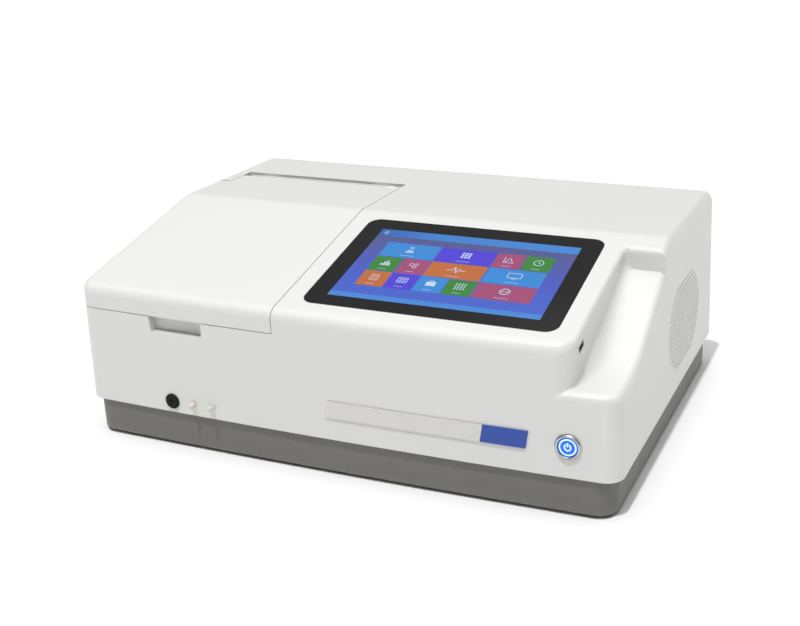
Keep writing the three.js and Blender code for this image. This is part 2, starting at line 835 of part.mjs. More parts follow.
function frontHoles() {
  const through = [frontY - 2 * frontBow, frontY + 2 * caseWall + frontBow];
  const plugX = -halfWidth + plugFromSide;
  const buttonX = halfWidth - buttonFromSide;
  const seat = buttonRadius + slip;
  return [
    rodY(buttonBarrel + slip, buttonX, through, buttonZ, 28),
    rodY(seat, buttonX, [-far, spotY(buttonX, seat)], buttonZ, 28),
    rodY(plugStemRadius + slip, plugX, through, plugZ),
    ...portX.map((x) => rodY(portTubeRadius + slip, x, through, portZ, 12)),
  ];
}

// ---- Lugs and tabs on the casing ----

// An eye round the hinge pin with an arm back to the slot's rear wall.
function hingeLugs(x) {
  const shape = new THREE.Shape();
  shape.moveTo(slotRearY + 1, hingeZ + hingeEye);
  shape.lineTo(hingeY, hingeZ + hingeEye);
  shape.absarc(hingeY, hingeZ, hingeEye, Math.PI / 2, 1.5 * Math.PI);
  shape.lineTo(slotRearY + 1, hingeZ - hingeEye);
  shape.holes.push(pinHole());
  const inner = hingeArm / 2 + slip;
  return [
    solid(alongX(shape, x - inner - hingeLug, x - inner)),
    solid(alongX(shape, x + inner, x + inner + hingeLug)),
  ];
}

function pinHole() {
  return new THREE.Path().absarc(hingeY, hingeZ, hingePinRadius + touch, 0, 2 * Math.PI);
}

function sideScrewPlaces() {
  const ys = [frontY + sideScrewFront, rearY - sideScrewRear];
  return ['left', 'right'].flatMap((side) => ys.map((y, i) => ({
    name: `side_screw_${side}_${i ? 'rear' : 'front'}`,
    side: side === 'left' ? -1 : 1,
    y,
  })));
}
const sideScrewZ = caseBottomZ - sideScrewDrop;
const baseHalf = halfWidth - baseInset;

// A tab that drops from the casing's wall, over the base's lip, to meet a side screw.
function screwTab({ side, y }) {
  const outer = baseHalf - baseWall - slip;
  const inner = outer - tabThickness;
  const wide = [y - tabWidth / 2, y + tabWidth / 2];
  const ledgeZ = caseBottomZ + baseLip + slip;
  const tabTop = ledgeZ + tabThickness;
  const drop = block(spread(side, inner, outer), wide, [sideScrewZ - 2 * sideScrewHead, tabTop]);
  const ledge = block(spread(side, inner, halfWidth - caseWall / 2), wide, [ledgeZ, tabTop]);
  const hole = rodX(sideScrewRadius + touch, spread(side, inner - 1, outer + 1), y, sideScrewZ, 12);
  return cut(join(drop, ledge), hole);
}

// [a, b] on the right, or its mirror image on the left, low value first.
function spread(side, a, b) {
  return side > 0 ? [a, b] : [-b, -a];
}

function buildCasing() {
  const outer = cut(caseSkin(), lidHollow(0), notchHollow(0), glassPocket(0));
  const inner = cut(caseCavity(caseWall), lidHollow(caseWall), notchHollow(caseWall),
    shelfHollow(caseWall), glassPocket(caseWall));
  const shell = cut(outer, inner, panelWindow(), rearOpening(), wellOpening(), usbOpening(),
    ...louvres(), ...frontHoles());
  const lugs = hingeX.flatMap(hingeLugs);
  add('upper_casing', join(shell, ...lugs, ...sideScrewPlaces().map(screwTab)), 'whiteShell');
}

// ---- Lid ----
function lidRegion() {
  const right = seamX - seamGap / 2;
  const shape = outline([
    [-far, -far],
    [right, -far],
    [right, lidRearY],
    [jogX + seamGap, lidRearY],
    [jogX + seamGap, jogY - 3 * seamGap],
    [-far, jogY - 3 * seamGap],
  ]);
  return solid(alongZ(shape, lidGapZ + seamGap / 2, far));
}

// An arm that reaches down and back from under the lid to an eye round the hinge pin.
function lidArm(x) {
  const frontEdge = lidRearY - hingeArmReach;
  const under = caseTopZ - lidWall / 2;
  const shape = new THREE.Shape();
  shape.moveTo(hingeY, hingeZ + hingeEye);
  shape.absarc(hingeY, hingeZ, hingeEye, Math.PI / 2, -Math.PI / 2, true);
  shape.lineTo(frontEdge + hingeEye, hingeZ - hingeEye);
  shape.lineTo(frontEdge, hingeZ);
  shape.lineTo(frontEdge, under);
  shape.lineTo(lidRearY - 1, under);
  shape.lineTo(lidRearY - 1, hingeZ + hingeEye);
  shape.holes.push(pinHole());
  return solid(alongX(shape, x - hingeArm / 2, x + hingeArm / 2));
}

function buildLid() {
  const shell = cut(caseSkin(), caseCavity(lidWall)).intersect(lidRegion());
  add('sample_lid', join(shell, ...hingeX.map(lidArm)), 'whiteShell');
  const reach = hingeArm / 2 + slip + hingeLug;
  ['left', 'right'].forEach((side, i) => {
    const pin = rodX(hingePinRadius, [hingeX[i] - reach, hingeX[i] + reach], hingeY, hingeZ);
    add(`lid_hinge_pin_${side}`, pin, 'steel');
  });
}

// ---- Base ----
function basePlan(wall) {
  return planOutline({
    half: baseHalf - wall,
    front: frontY + baseSetback + wall,
    rear: rearY - baseInset - wall,
    corner: baseCorner - wall,
    bow: baseBow,
  });
}

// The lip stands just inside the casing's wall.
function lipPlan(wall) {
  return planOutline({
    half: baseHalf - wall,
    front: frontY + caseWall + slip + wall,
    rear: rearY - baseInset - wall,
    corner: baseCorner - wall,
    bow: frontBow,
  });
}

function buildBase() {
  const wallTop = caseBottomZ - touch;
  const lipTop = caseBottomZ + baseLip;
  const tray = solid(alongZ(basePlan(0), footHeight, wallTop));
  const lip = solid(alongZ(lipPlan(0), baseFloorZ, lipTop));
  const inside = solid(alongZ(lipPlan(baseWall), baseFloorZ, lipTop + 1));
  const holes = sideScrewPlaces().map(({ side, y }) =>
    rodX(sideScrewRadius + touch, spread(side, baseHalf - 2 * baseWall, halfWidth + 1), y, sideScrewZ, 12));
  add('base_pan', cut(join(tray, lip), inside, ...holes), 'greyPaint');
  sideScrewPlaces().forEach(buildSideScrew);
  buildFeet();
}

// A screw along X: a low head outside the base and a shank through to the casing's tab.
function buildSideScrew({ name, side, y }) {
  const shank = baseWall + slip + tabThickness + touch;
  const group = frameAt(side * (baseHalf + touch), y, sideScrewZ);
  group.rotation.z = side > 0 ? -Math.PI / 2 : Math.PI / 2;
  const profile = [
    [0, -shank], [sideScrewRadius, -shank], [sideScrewRadius, 0], [sideScrewHead, 0],
    [sideScrewHead, 1.2], [sideScrewHead * 0.6, 2.2], [0, 2.4],
  ];
  add(name, turned(profile, 16), 'steel', group);
}

function buildFeet() {
  const top = footHeight - touch;
  const profile = [[0, 0], [footRadius - 1.5, 0], [footRadius, 1], [footRadius, top], [0, top]];
  const xs = [-baseHalf + footInset, baseHalf - footInset];
  const ys = [frontY + footInset, rearY - footInset];
  ['left', 'right'].forEach((side, i) => ['front', 'rear'].forEach((end, j) => {
    const foot = add(`foot_${end}_${side}`, turned(profile, 24), 'blackRubber', frameAt(xs[i], ys[j], 0));
    foot.rotation.x = Math.PI / 2;
  }));
}

// ---- Display ----
function buildDisplay() {
  const group = frameAt(0, frontY, foldZ);
  group.rotation.x = slopeAngle;
  const y = glassFromFold + glassLength / 2;
  const glass = alongZ(roundedRectangle(glassWidth, glassLength, glassCorner), 0, glassThickness, 4);
  const glassMesh = add('display_glass', glass, 'blackGlass', group);
  glassMesh.position.set(glassX, y, glassProud - glassThickness);
  const panel = alongZ(roundedRectangle(panelWidth, panelLength, 2), 0, panelThickness, 1);
  const panelMesh = add('display_panel', panel, 'screen', group);
  panelMesh.position.set(glassX, y, glassProud - glassThickness - touch - panelThickness);
}

// ---- Front fittings ----

// A thin strip that hugs the bowed front between x0 and x1, with slanted ends.
function frontStrip(x0, x1) {
  const outer = solid(alongZ(casePlan(-touch - stripThickness), 0, far / 4));
  const inner = solid(alongZ(casePlan(-touch), -1, far / 2));
  const low = stripZ - stripHeight / 2;
  const high = stripZ + stripHeight / 2;
  const lean = stripSlant / 2;
  const shape = outline([[x0 - lean, low], [x1 - lean, low], [x1 + lean, high], [x0 + lean, high]]);
  return cut(outer, inner).intersect(solid(alongY(shape, -far, 0)));
}

function buildNameStrip() {
  const labelRight = halfWidth - labelFromSide;
  const labelLeft = labelRight - labelLength;
  add('nameplate_label', frontStrip(labelLeft, labelRight), 'blueLabel');
  add('nameplate', frontStrip(labelLeft - touch - stripLength, labelLeft - touch), 'silver');
}

function buildPowerButton() {
  const x = halfWidth - buttonFromSide;
  const group = frameAt(x, spotY(x, buttonRadius + slip) - touch, buttonZ);
  const bore = buttonCapRadius + slip;
  const barrelEnd = caseWall + 7;
  const bezel = [
    [bore, -2.2], [buttonRadius - 1.2, -2.6], [buttonRadius, -1.4], [buttonRadius, 0],
    [buttonBarrel, 0], [buttonBarrel, barrelEnd], [bore, barrelEnd], [bore, -2.2],
  ];
  const capEnd = barrelEnd - buttonTravel - slip;
  const cap = [
    [0, -1.8], [buttonCapRadius - 1, -1.6], [buttonCapRadius, -1], [buttonCapRadius, capEnd], [0, capEnd],
  ];
  const bodyStart = barrelEnd + touch;
  const bodyEnd = bodyStart + buttonBodyLength;
  const body = [[0, bodyStart], [buttonCapRadius, bodyStart], [buttonCapRadius, bodyEnd], [0, bodyEnd]];
  add('power_button_bezel', turned(bezel), 'steel', group);
  add('power_button_cap', turned(cap), 'litBlue', group);
  add('power_switch_body', turned(body, 20), 'blackPlastic', group);
}

// A push-in rubber plug with a dimpled face.
function buildAccessPlug() {
  const x = -halfWidth + plugFromSide;
  const stem = caseWall + 6;
  const profile = [
    [0, -1.2], [1.6, -1.4], [2.4, -2.4], [plugRadius - 1.4, -2], [plugRadius, -0.8], [plugRadius, 0],
    [plugStemRadius, 0], [plugStemRadius, stem], [0, stem],
  ];
  add('access_plug', turned(profile), 'blackRubber', frameAt(x, proudY(x, plugRadius) - touch, plugZ));
}

// A tube fitting through the front with a nut inside and a soft cap outside.
function buildPort(side, x) {
  const group = frameAt(x, proudY(x, portCapRadius) - touch, portZ);
  const bore = portTubeRadius + touch;
  const cap = [
    [0, -portCapLength], [portCapRadius - 0.7, -portCapLength], [portCapRadius, -portCapLength + 0.7],
    [portCapRadius, 0], [bore, 0], [bore, -portCapLength + 2], [0, -portCapLength + 2],
  ];
  const nut = caseWall + 2 * touch + 1;
  const end = nut + 12;
  const fitting = [
    [0, -portCapLength + 2.5], [portTubeRadius, -portCapLength + 2.5], [portTubeRadius, nut],
    [portNut, nut], [portNut, nut + 4], [portTubeRadius, nut + 4], [portTubeRadius, end], [0, end],
  ];
  add(`port_cap_${side}`, turned(cap, 20), 'whitePlastic', group);
  add(`port_fitting_${side}`, turned(fitting, 16), 'steel', group);
}

function buildUsbSocket() {
  const [length, width, depth] = usbSize;
  const [mouthLength, mouthWidth, mouthDepth] = usbMouth;
  const body = centred([-depth / 2, 0, 0], [depth, length, width]);
  const mouth = centred([-mouthDepth / 2 + 0.5, 0, 0], [mouthDepth + 1, mouthLength, mouthWidth]);
  const socket = add('usb_socket', cut(body, mouth), 'zinc');
  socket.applyMatrix4(usbPlacement());
}

// ---- Rear panel ----
function buildRearPanel() {
  const { fromLeft, fromRight } = rearWindow;
  const thick = [panelY - rearPanelThickness, panelY];
  const plate = block([-halfWidth + fromLeft - rearPanelEdge, halfWidth - fromRight + rearPanelEdge], thick,
    [windowZ[0] - rearPanelEdge / 4, windowZ[1] + rearPanelEdge]);
  const opening = (x, z, [width, height]) =>
    centred([x, panelY, z], [width + 2 * slip, 4 * rearPanelThickness, height + 2 * slip]);
  const inlet = opening(inletX, inletZ, inletBody);
  const usb = opening(inletX + usbBFromInlet, socketZ, usbBBody);
  const serial = opening(inletX + serialFromInlet, socketZ, serialShell);
  const fan = rodY(fanSize / 2 - 3, fanX, [panelY - 5, panelY + 5], fanZ, 32);
  add('rear_panel', cut(plate, inlet, usb, serial, fan), 'aluminium');
}

function buildInlet() {
  const group = frameAt(inletX, panelY + touch, inletZ);
  const [width, height, thickness] = inletFlange;
  const [bodyWidth, bodyHeight, bodyDepth] = inletBody;
  const flange = block([-width / 2, width / 2], [0, thickness], [-height / 2, height / 2]);
  const body = block([-bodyWidth / 2, bodyWidth / 2], [-bodyDepth, 1], [-bodyHeight / 2, bodyHeight / 2]);
  const mouthZ = bodyHeight / 2 - inletMouth[1] / 2 - inletWall;
  const fuseZ = -bodyHeight / 2 + fuseSlot[1] / 2 + inletWall;
  const recess = (z, [wide, high, deep]) =>
    centred([0, thickness - deep / 2 + 1, z], [wide, deep + 2, high]);
  const hollow = cut(join(flange, body), recess(mouthZ, inletMouth), recess(fuseZ, fuseSlot));
  add('mains_inlet', hollow, 'blackPlastic', group);
  const [slotWidth, slotHeight, slotDepth] = fuseSlot;
  const tray = centred([0, thickness - slotDepth / 2 + 1.4, fuseZ],
    [slotWidth - 2 * slip, slotDepth - 1.2, slotHeight - 2 * slip]);
  add('fuse_drawer', tray, 'blackPlastic', group);
}

// A square USB-B socket and a nine-way serial socket.
function buildDataSockets() {
  const [width, height, depth] = usbBBody;
  const usb = frameAt(inletX + usbBFromInlet, panelY, socketZ);
  const body = centred([0, 1 - depth / 2, 0], [width, depth, height]);
  const mouth = centred([0, 1.5 - usbBMouth[2] / 2, 0], [usbBMouth[0], usbBMouth[2] + 1, usbBMouth[1]]);
  add('usb_b_socket', cut(body, mouth), 'zinc', usb);
  const serial = frameAt(inletX + serialFromInlet, panelY + touch, socketZ);
  const flange = centred([0, serialFlange[2] / 2, 0], [serialFlange[0], serialFlange[2], serialFlange[1]]);
  const [x, z] = [serialShell[0] / 2, serialShell[1] / 2];
  const shape = outline([[-x + 1.4, -z, 1.5], [x - 1.4, -z, 1.5], [x, z, 1.5], [-x, z, 1.5]]);
  const shell = solid(alongY(shape, -8, serialFlange[2] + serialShell[2], 3));
  add('serial_socket', join(flange, shell), 'zinc', serial);
}

function buildFan() {
  const rear = panelY - rearPanelThickness - touch;
  const group = frameAt(fanX, rear - fanDepth / 2, fanZ);
  const half = fanDepth / 2;
  const frame = solid(alongY(roundedRectangle(fanSize, fanSize, 4), -half, half, 2));
  const bore = rodY(fanSize / 2 - 2, 0, [-half - 1, half + 1], 0, 32);
  const strut = centred([0, -half + 1.5, 0], [fanSize - 3, 3, 4]);
  const crossStrut = centred([0, -half + 1.5, 0], [4, 3, fanSize - 3]);
  const stator = rodY(fanHub, 0, [-half, -half + 4], 0);
  add('fan_frame', join(cut(frame, bore), strut, crossStrut, stator), 'blackPlastic', group);
  add('fan_rotor', fanRotor(half), 'blackPlastic', group);
}

// A hub with blades set at a slant, in front of the frame's struts.
function fanRotor(half) {
  const hub = rodY(fanHub, 0, [-half + 4 + slip, half - 2], 0);
  const reach = fanSize / 2 - 3.5;
  const blades = [];
  for (let i = 0; i < fanBlades; i++) {
    const blade = new THREE.BoxGeometry(14, 1.6, reach - fanHub + 2);
    blade.rotateZ(Math.PI / 4).translate(0, 2, (reach + fanHub - 2) / 2);
    blades.push(solid(blade.rotateY((i / fanBlades) * 2 * Math.PI)));
  }
  return join(hub, ...blades);
}

// ---- Sample compartment ----
function buildWell() {
  const top = deckZ + touch + 1.5;
  const tub = (grow, z0, z1) =>
    block([wellLeft - grow, wellRight + grow], [wellFront - grow, wellRear + grow], [z0, z1]);
  const flange = tub(wellFlange, deckZ + touch, top);
  const outer = tub(0, wellFloorZ, top);
  const inside = tub(-wellWall, wellFloorZ + wellWall, top + 1);
  const across = [wellLeft - 1, wellRight + 1];
  const beams = [sampleY, referenceY].map((y) => rodX(beamHole, across, y, beamZ, 24));
  const screwHole = rodY(screwRadius + slip, screwX, [wellRear - 2 * wellWall, wellRear + 1], screwZ, 16);
  add('sample_well', cut(join(outer, flange), inside, ...beams, screwHole), 'darkAnodised');
}

function cellPocket(y) {
  const half = cellSize / 2 + slip;
  return block([cellX - half, cellX + half], [y - half, y + half], [cellZ - touch, carriageTopZ + 1]);
}

function buildRail() {
  const rail = block([cellX - railHalf, cellX + railHalf],
    [wellFront + wellWall + 8, referenceY - carriageHalf - touch - wellWall],
    [wellFloorZ + wellWall + touch, carriageZ - touch]);
  add('cell_rail', rail, 'steel');
}

// A block of pockets on two feet that straddle the rail, with a nut on the lead screw.
function buildCarriage() {
  const last = sampleY + (cellPockets - 1) * cellPitch;
  const long = [sampleY - carriageHalf, last + carriageHalf];
  const footZ = [carriageZ - carriageFoot, carriageZ + 1];
  const body = block([cellX - carriageHalf, cellX + carriageHalf], long, [carriageZ, carriageTopZ]);
  const feet = [-1, 1].map((side) => {
    const [a, b] = spread(side, railHalf + slip, carriageHalf);
    return block([cellX + a, cellX + b], long, footZ);
  });
  const nutY = (sampleY + last) / 2;
  const nut = block([cellX + carriageHalf - 1, screwX + 2.5 * screwRadius], [nutY - 10, nutY + 10], footZ);
  const thread = rodY(screwRadius + touch, screwX, [nutY - 11, nutY + 11], screwZ, 16);
  const pockets = [];
  for (let i = 0; i < cellPockets; i++) {
    const y = sampleY + i * cellPitch;
    pockets.push(cellPocket(y), rodX(cellSize / 3, [cellX - far, cellX + far], y, beamZ, 16));
  }
  add('cell_carriage', cut(join(body, ...feet, nut), thread, ...pockets), 'aluminium');
}

// A square cell, open at the top.
function buildCuvette(name, y) {
  const group = frameAt(cellX, y, cellZ);
  const inner = cellSize - 2 * cellWall;
  const outside = centred([0, 0, cellHeight / 2], [cellSize, cellSize, cellHeight]);
  const inside = centred([0, 0, cellHeight / 2 + cellWall], [inner, inner, cellHeight]);
  add(name, cut(outside, inside), 'quartz', group);
}

function buildReferenceHolder() {
  const half = carriageHalf;
  const body = block([cellX - half, cellX + half], [referenceY - half, referenceY + half],
    [wellFloorZ + wellWall + touch, carriageTopZ]);
  const beam = rodX(cellSize / 3, [cellX - far, cellX + far], referenceY, beamZ, 16);
  add('reference_holder', cut(body, cellPocket(referenceY), beam), 'aluminium');
  buildCuvette('reference_cuvette', referenceY);
}

function buildScrewDrive() {
  const start = wellFront + wellWall + 4;
  const end = wellRear + 8;
  add('lead_screw', rodY(screwRadius, screwX, [start, end], screwZ, 16), 'brass');
  const motor = frameAt(screwX, end + touch, screwZ);
  const body = solid(alongY(roundedRectangle(motorSize, motorSize, 4), 0, motorSize, 2));
  add('carriage_motor', body, 'darkAnodised', motor);
}

function buildDetectors() {
  [['sample_detector', sampleY], ['reference_detector', referenceY]].forEach(([name, y]) => {
    const group = frameAt(wellLeft - wellWall, y, beamZ);
    const can = rodX(detectorRadius, [-30, -6], 0, 0, 24);
    const snout = rodX(detectorRadius / 2, [-8, 0], 0, 0, 16);
    add(name, join(can, snout), 'darkAnodised', group);
  });
}

// ---- Optics behind the sample compartment ----
function buildBench() {
  const x = [monoLeft - 6, lampLeft + lampWidth + 4];
  const y = [monoFront - 12, monoRear];
  const plate = block(x, y, [benchZ, benchZ + benchThickness]);
  const posts = x.flatMap((px, i) => y.map((py, j) =>
    rodZ(benchPost, px + (i ? -12 : 12), py + (j ? -12 : 12), [baseFloorZ + touch, benchZ + 1], 16)));
  add('optical_bench', join(plate, ...posts), 'aluminium');
}

// An open-topped housing with a floor and four walls.
function openHousing([x0, x1], [y0, y1]) {
  const outer = block([x0, x1], [y0, y1], [housingZ, housingTopZ]);
  const inner = block([x0 + housingWall, x1 - housingWall], [y0 + housingWall, y1 - housingWall],
    [housingZ + housingWall, housingTopZ + 1]);
  return cut(outer, inner);
}

function buildMonochromator() {
  const entrance = rodX(5, [monoRight - 2 * housingWall, monoRight + 1], entranceY, beamZ, 16);
  const exit = rodY(5, exitX, [monoFront - 1, monoFront + 2 * housingWall], beamZ, 16);
  const housing = openHousing([monoLeft, monoRight], [monoFront, monoRear]);
  add('monochromator_housing', cut(housing, entrance, exit), 'darkAnodised');
  buildMirror('collimating_mirror', entranceY);
  buildMirror('focusing_mirror', monoFront + focusFromFront);
  buildGrating();
  buildFilterWheel();
}

// A round mirror facing +X on a foot.
function buildMirror(name, y) {
  const floor = housingZ + housingWall + touch;
  const group = frameAt(monoLeft + 4 * housingWall, y, floor);
  const height = beamZ - floor;
  const disc = rodX(mirrorRadius, [-mirrorThickness / 2, mirrorThickness / 2], 0, height, 28);
  const foot = block([-mirrorThickness / 2, mirrorThickness / 2], [-8, 8], [0, height]);
  const plate = block([-mirrorThickness, mirrorThickness], [-12, 12], [0, 4]);
  add(name, join(disc, foot, plate), 'mirror', group);
}

function buildGrating() {
  const floor = housingZ + housingWall + touch;
  const y = (entranceY + monoFront + focusFromFront) / 2;
  const group = frameAt(monoRight - 48, y, floor);
  const height = beamZ - floor;
  const table = rodZ(17, 0, 0, [0, height - gratingSize / 2], 28);
  const back = centred([4, 0, height], [6, gratingSize, gratingSize + 4]);
  add('grating_mount', join(table, back), 'aluminium', group);
  const plate = centred([1 - touch - 3, 0, height], [6, gratingSize - 2, gratingSize - 2]);
  add('diffraction_grating', plate, 'mirror', group);
}

// A disc of filters turning about X, set so that one filter is in the beam.
function buildFilterWheel() {
  const ring = wheelRadius - 7;
  const group = frameAt(monoRight - 3 * housingWall, entranceY, beamZ - ring);
  const disc = rodX(wheelRadius, [-wheelThickness / 2, wheelThickness / 2], 0, 0, 32);
  const stub = rodX(3, [-10, 0], 0, 0, 16);
  const ports = [];
  for (let i = 0; i < wheelFilters; i++) {
    const angle = (i / wheelFilters) * 2 * Math.PI;
    ports.push(rodX(4.5, [-far, far], ring * Math.sin(angle), ring * Math.cos(angle), 12));
  }
  add('filter_wheel', cut(join(disc, stub), ...ports), 'blackPlastic', group);
}

function buildLampHousing() {
  const y = [monoFront, monoFront + lampDepth];
  const x = [lampLeft, lampLeft + lampWidth];
  const port = rodX(7, [lampLeft - 1, lampLeft + 2 * housingWall], entranceY, beamZ, 16);
  add('lamp_housing', cut(openHousing(x, y), port), 'aluminium');
  const floor = housingZ + housingWall + touch;
  const mirrorPost = frameAt(lampLeft + 28, entranceY, floor);
  const height = beamZ - floor;
  const stem = rodZ(4, 0, 0, [0, height - 8], 16);
  const plate = centred([0, 0, height], [3, 24, 24]);
  add('source_mirror', join(stem, plate), 'mirror', mirrorPost);
  buildLamps(floor, height);
}

// A fat ribbed deuterium lamp and a small halogen lamp, both standing on their bases.
function buildLamps(floor, height) {
  const deuterium = [
    [0, 0], [17, 0], [17, 14], [14, 16], [14, height + 16], [9, height + 22], [0, height + 23],
  ];
  const tungsten = [
    [0, 0], [8, 0], [8, height - 14], [5.5, height - 12], [5.5, height + 6], [0, height + 10],
  ];
  const lamps = [
    ['deuterium_lamp', deuterium, lampLeft + lampWidth - 28, entranceY - 2],
    ['tungsten_lamp', tungsten, lampLeft + 34, monoFront + 28],
  ];
  lamps.forEach(([name, profile, x, y]) => {
    const lamp = add(name, turned(profile, 20), 'quartz', frameAt(x, y, floor));
    lamp.rotation.x = Math.PI / 2;
  });
}

// Plates at 45 degrees that split the beam and turn it across the sample compartment.
function buildBeamPlates() {
  const plates = [['beam_splitter', referenceY, 'quartz'], ['fold_mirror', sampleY, 'mirror']];
  plates.forEach(([name, y, finish]) => {
    const group = frameAt(exitX, y, baseFloorZ + touch);
    group.rotation.z = Math.PI / 4;
    const height = beamZ - baseFloorZ - touch;
    const post = rodZ(6, 0, 0, [0, height - 12], 16);
    const foot = block([-14, 14], [-14, 14], [0, 5]);
    const plate = centred([0, 0, height], [30, 3, 30]);
    add(name, join(foot, post, plate), finish, group);
  });
}

// ---- Electronics ----
function buildBoard() {
  const [width, length, thickness] = boardSize;
  const group = frameAt(shelfWallX - width / 2, frontY + 20 + length / 2, boardZ);
  const plate = centred([0, 0, thickness / 2], [width, length, thickness]);
  const processor = centred([-20, 10, thickness + 4], [38, 38, 9]);
  const connectors = centred([width / 2 - 12, 0, thickness + 4], [14, length * 0.7, 9]);
  const posts = [-1, 1].flatMap((i) => [-1, 1].map((j) =>
    rodZ(3, i * (width / 2 - 8), j * (length / 2 - 8), [baseFloorZ + touch - boardZ, 1], 12)));
  add('main_board', join(plate, processor, connectors, ...posts), 'greenBoard', group);
}

function buildSupply() {
  const [width, length, height] = supplySize;
  const group = frameAt(-halfWidth + 35 + width / 2, rearY - 38 - length / 2, baseFloorZ + touch);
  const box = centred([0, 0, height / 2], [width, length, height]);
  const terminals = centred([width / 2 + 5, 0, 14], [12, length - 20, 16]);
  add('power_supply', join(box, terminals), 'zinc', group);
}

// ---- Assembly ----
buildBase();
buildCasing();
buildLid();
buildDisplay();
buildNameStrip();
buildPowerButton();
buildAccessPlug();
buildPort('left', portX[0]);
buildPort('right', portX[1]);
buildUsbSocket();
buildRearPanel();
buildInlet();
buildDataSockets();
buildFan();
buildWell();
buildRail();
buildCarriage();
for (let i = 0; i < cellCount; i++) buildCuvette(`cuvette_${i + 1}`, sampleY + i * cellPitch);
buildReferenceHolder();
buildScrewDrive();
buildDetectors();
buildBench();
buildMonochromator();
buildLampHousing();
buildBeamPlates();
buildBoard();
buildSupply();

export default part;
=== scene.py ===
# Looks for the benchtop spectrophotometer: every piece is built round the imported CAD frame, in metres.
# The front faces -Y, and the slope carries the display.
import json
import math
import bmesh
import bpy
import numpy as np
from mathutils import Matrix, Vector


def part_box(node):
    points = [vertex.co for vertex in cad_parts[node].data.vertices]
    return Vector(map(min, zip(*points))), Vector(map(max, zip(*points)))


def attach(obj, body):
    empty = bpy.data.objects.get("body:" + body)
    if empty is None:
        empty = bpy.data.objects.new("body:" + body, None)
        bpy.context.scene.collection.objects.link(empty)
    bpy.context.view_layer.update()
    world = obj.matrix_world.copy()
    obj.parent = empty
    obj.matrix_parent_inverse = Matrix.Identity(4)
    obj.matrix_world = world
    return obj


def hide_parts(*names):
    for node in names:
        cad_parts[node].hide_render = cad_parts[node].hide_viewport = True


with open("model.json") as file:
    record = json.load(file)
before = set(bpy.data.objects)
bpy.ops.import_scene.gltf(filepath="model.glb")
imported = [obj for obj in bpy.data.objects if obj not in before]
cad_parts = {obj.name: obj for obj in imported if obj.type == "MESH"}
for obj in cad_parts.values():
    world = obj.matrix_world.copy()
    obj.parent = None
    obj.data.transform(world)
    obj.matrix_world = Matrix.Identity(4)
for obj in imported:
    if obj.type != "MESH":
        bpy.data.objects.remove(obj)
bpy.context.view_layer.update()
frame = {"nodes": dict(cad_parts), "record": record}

mm = 0.001

# The casing's own sizes, which most places are worked out from
casing = {
    "depth": 411 * mm, "foldHeight": 166.2 * mm, "slopeRun": 197.5 * mm, "lowerEdge": 39.7 * mm,
    "wall": 3 * mm, "sideLean": 0.03,
}


# A node's lowest and highest corner
def corners(node):
    return np.array([tuple(corner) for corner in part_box(node)], float)


def middle(node):
    low, high = corners(node)
    return (low + high) / 2


halfWidth, rearY, topZ = corners("upper_casing")[1]
frontY = rearY - casing["depth"]
slopeAngle = math.atan((topZ - casing["foldHeight"]) / casing["slopeRun"])


# Shader maths: a socket that can be added, multiplied, raised and compared like a number
class Wire:
    def __init__(self, tree, socket):
        self.tree = tree
        self.socket = socket

    def math(self, operation, a, b=0.0):
        return makeNode(self.tree, "ShaderNodeMath", {"operation": operation}, {0: a, 1: b})

    def __add__(self, other): return self.math("ADD", self, other)
    def __radd__(self, other): return self.math("ADD", other, self)
    def __sub__(self, other): return self.math("SUBTRACT", self, other)
    def __rsub__(self, other): return self.math("SUBTRACT", other, self)
    def __mul__(self, other): return self.math("MULTIPLY", self, other)
    def __rmul__(self, other): return self.math("MULTIPLY", other, self)
    def __pow__(self, other): return self.math("POWER", self, other)
    def __lt__(self, other): return self.math("LESS_THAN", self, other)
    def __gt__(self, other): return self.math("GREATER_THAN", self, other)
    def __abs__(self): return self.math("ABSOLUTE", self)


# Any node: its settings first, then the values or links of its sockets; gives one output back
def makeNode(tree, kind, settings=None, inputs=None, output=0):
    node = tree.nodes.new(kind)
    for name, value in (settings or {}).items():
        if name == "stops":
            setStops(node.color_ramp, value)
        else:
            setattr(node, name, value)
    for name, value in (inputs or {}).items():
        socket = node.inputs[name]
        if isinstance(value, Wire):
            tree.links.new(value.socket, socket)
        elif isinstance(value, (tuple, list)) and len(value) == 3 and len(socket.default_value) == 4:
            socket.default_value = (*value, 1.0)
        else:
            socket.default_value = value
    return Wire(tree, node.outputs[output])


def setStops(ramp, stops):
    while len(ramp.elements) < len(stops):
        ramp.elements.new(0.5)
    for element, (place, shade) in zip(ramp.elements, stops):
        element.position = place
        element.color = (shade, shade, shade, 1.0)


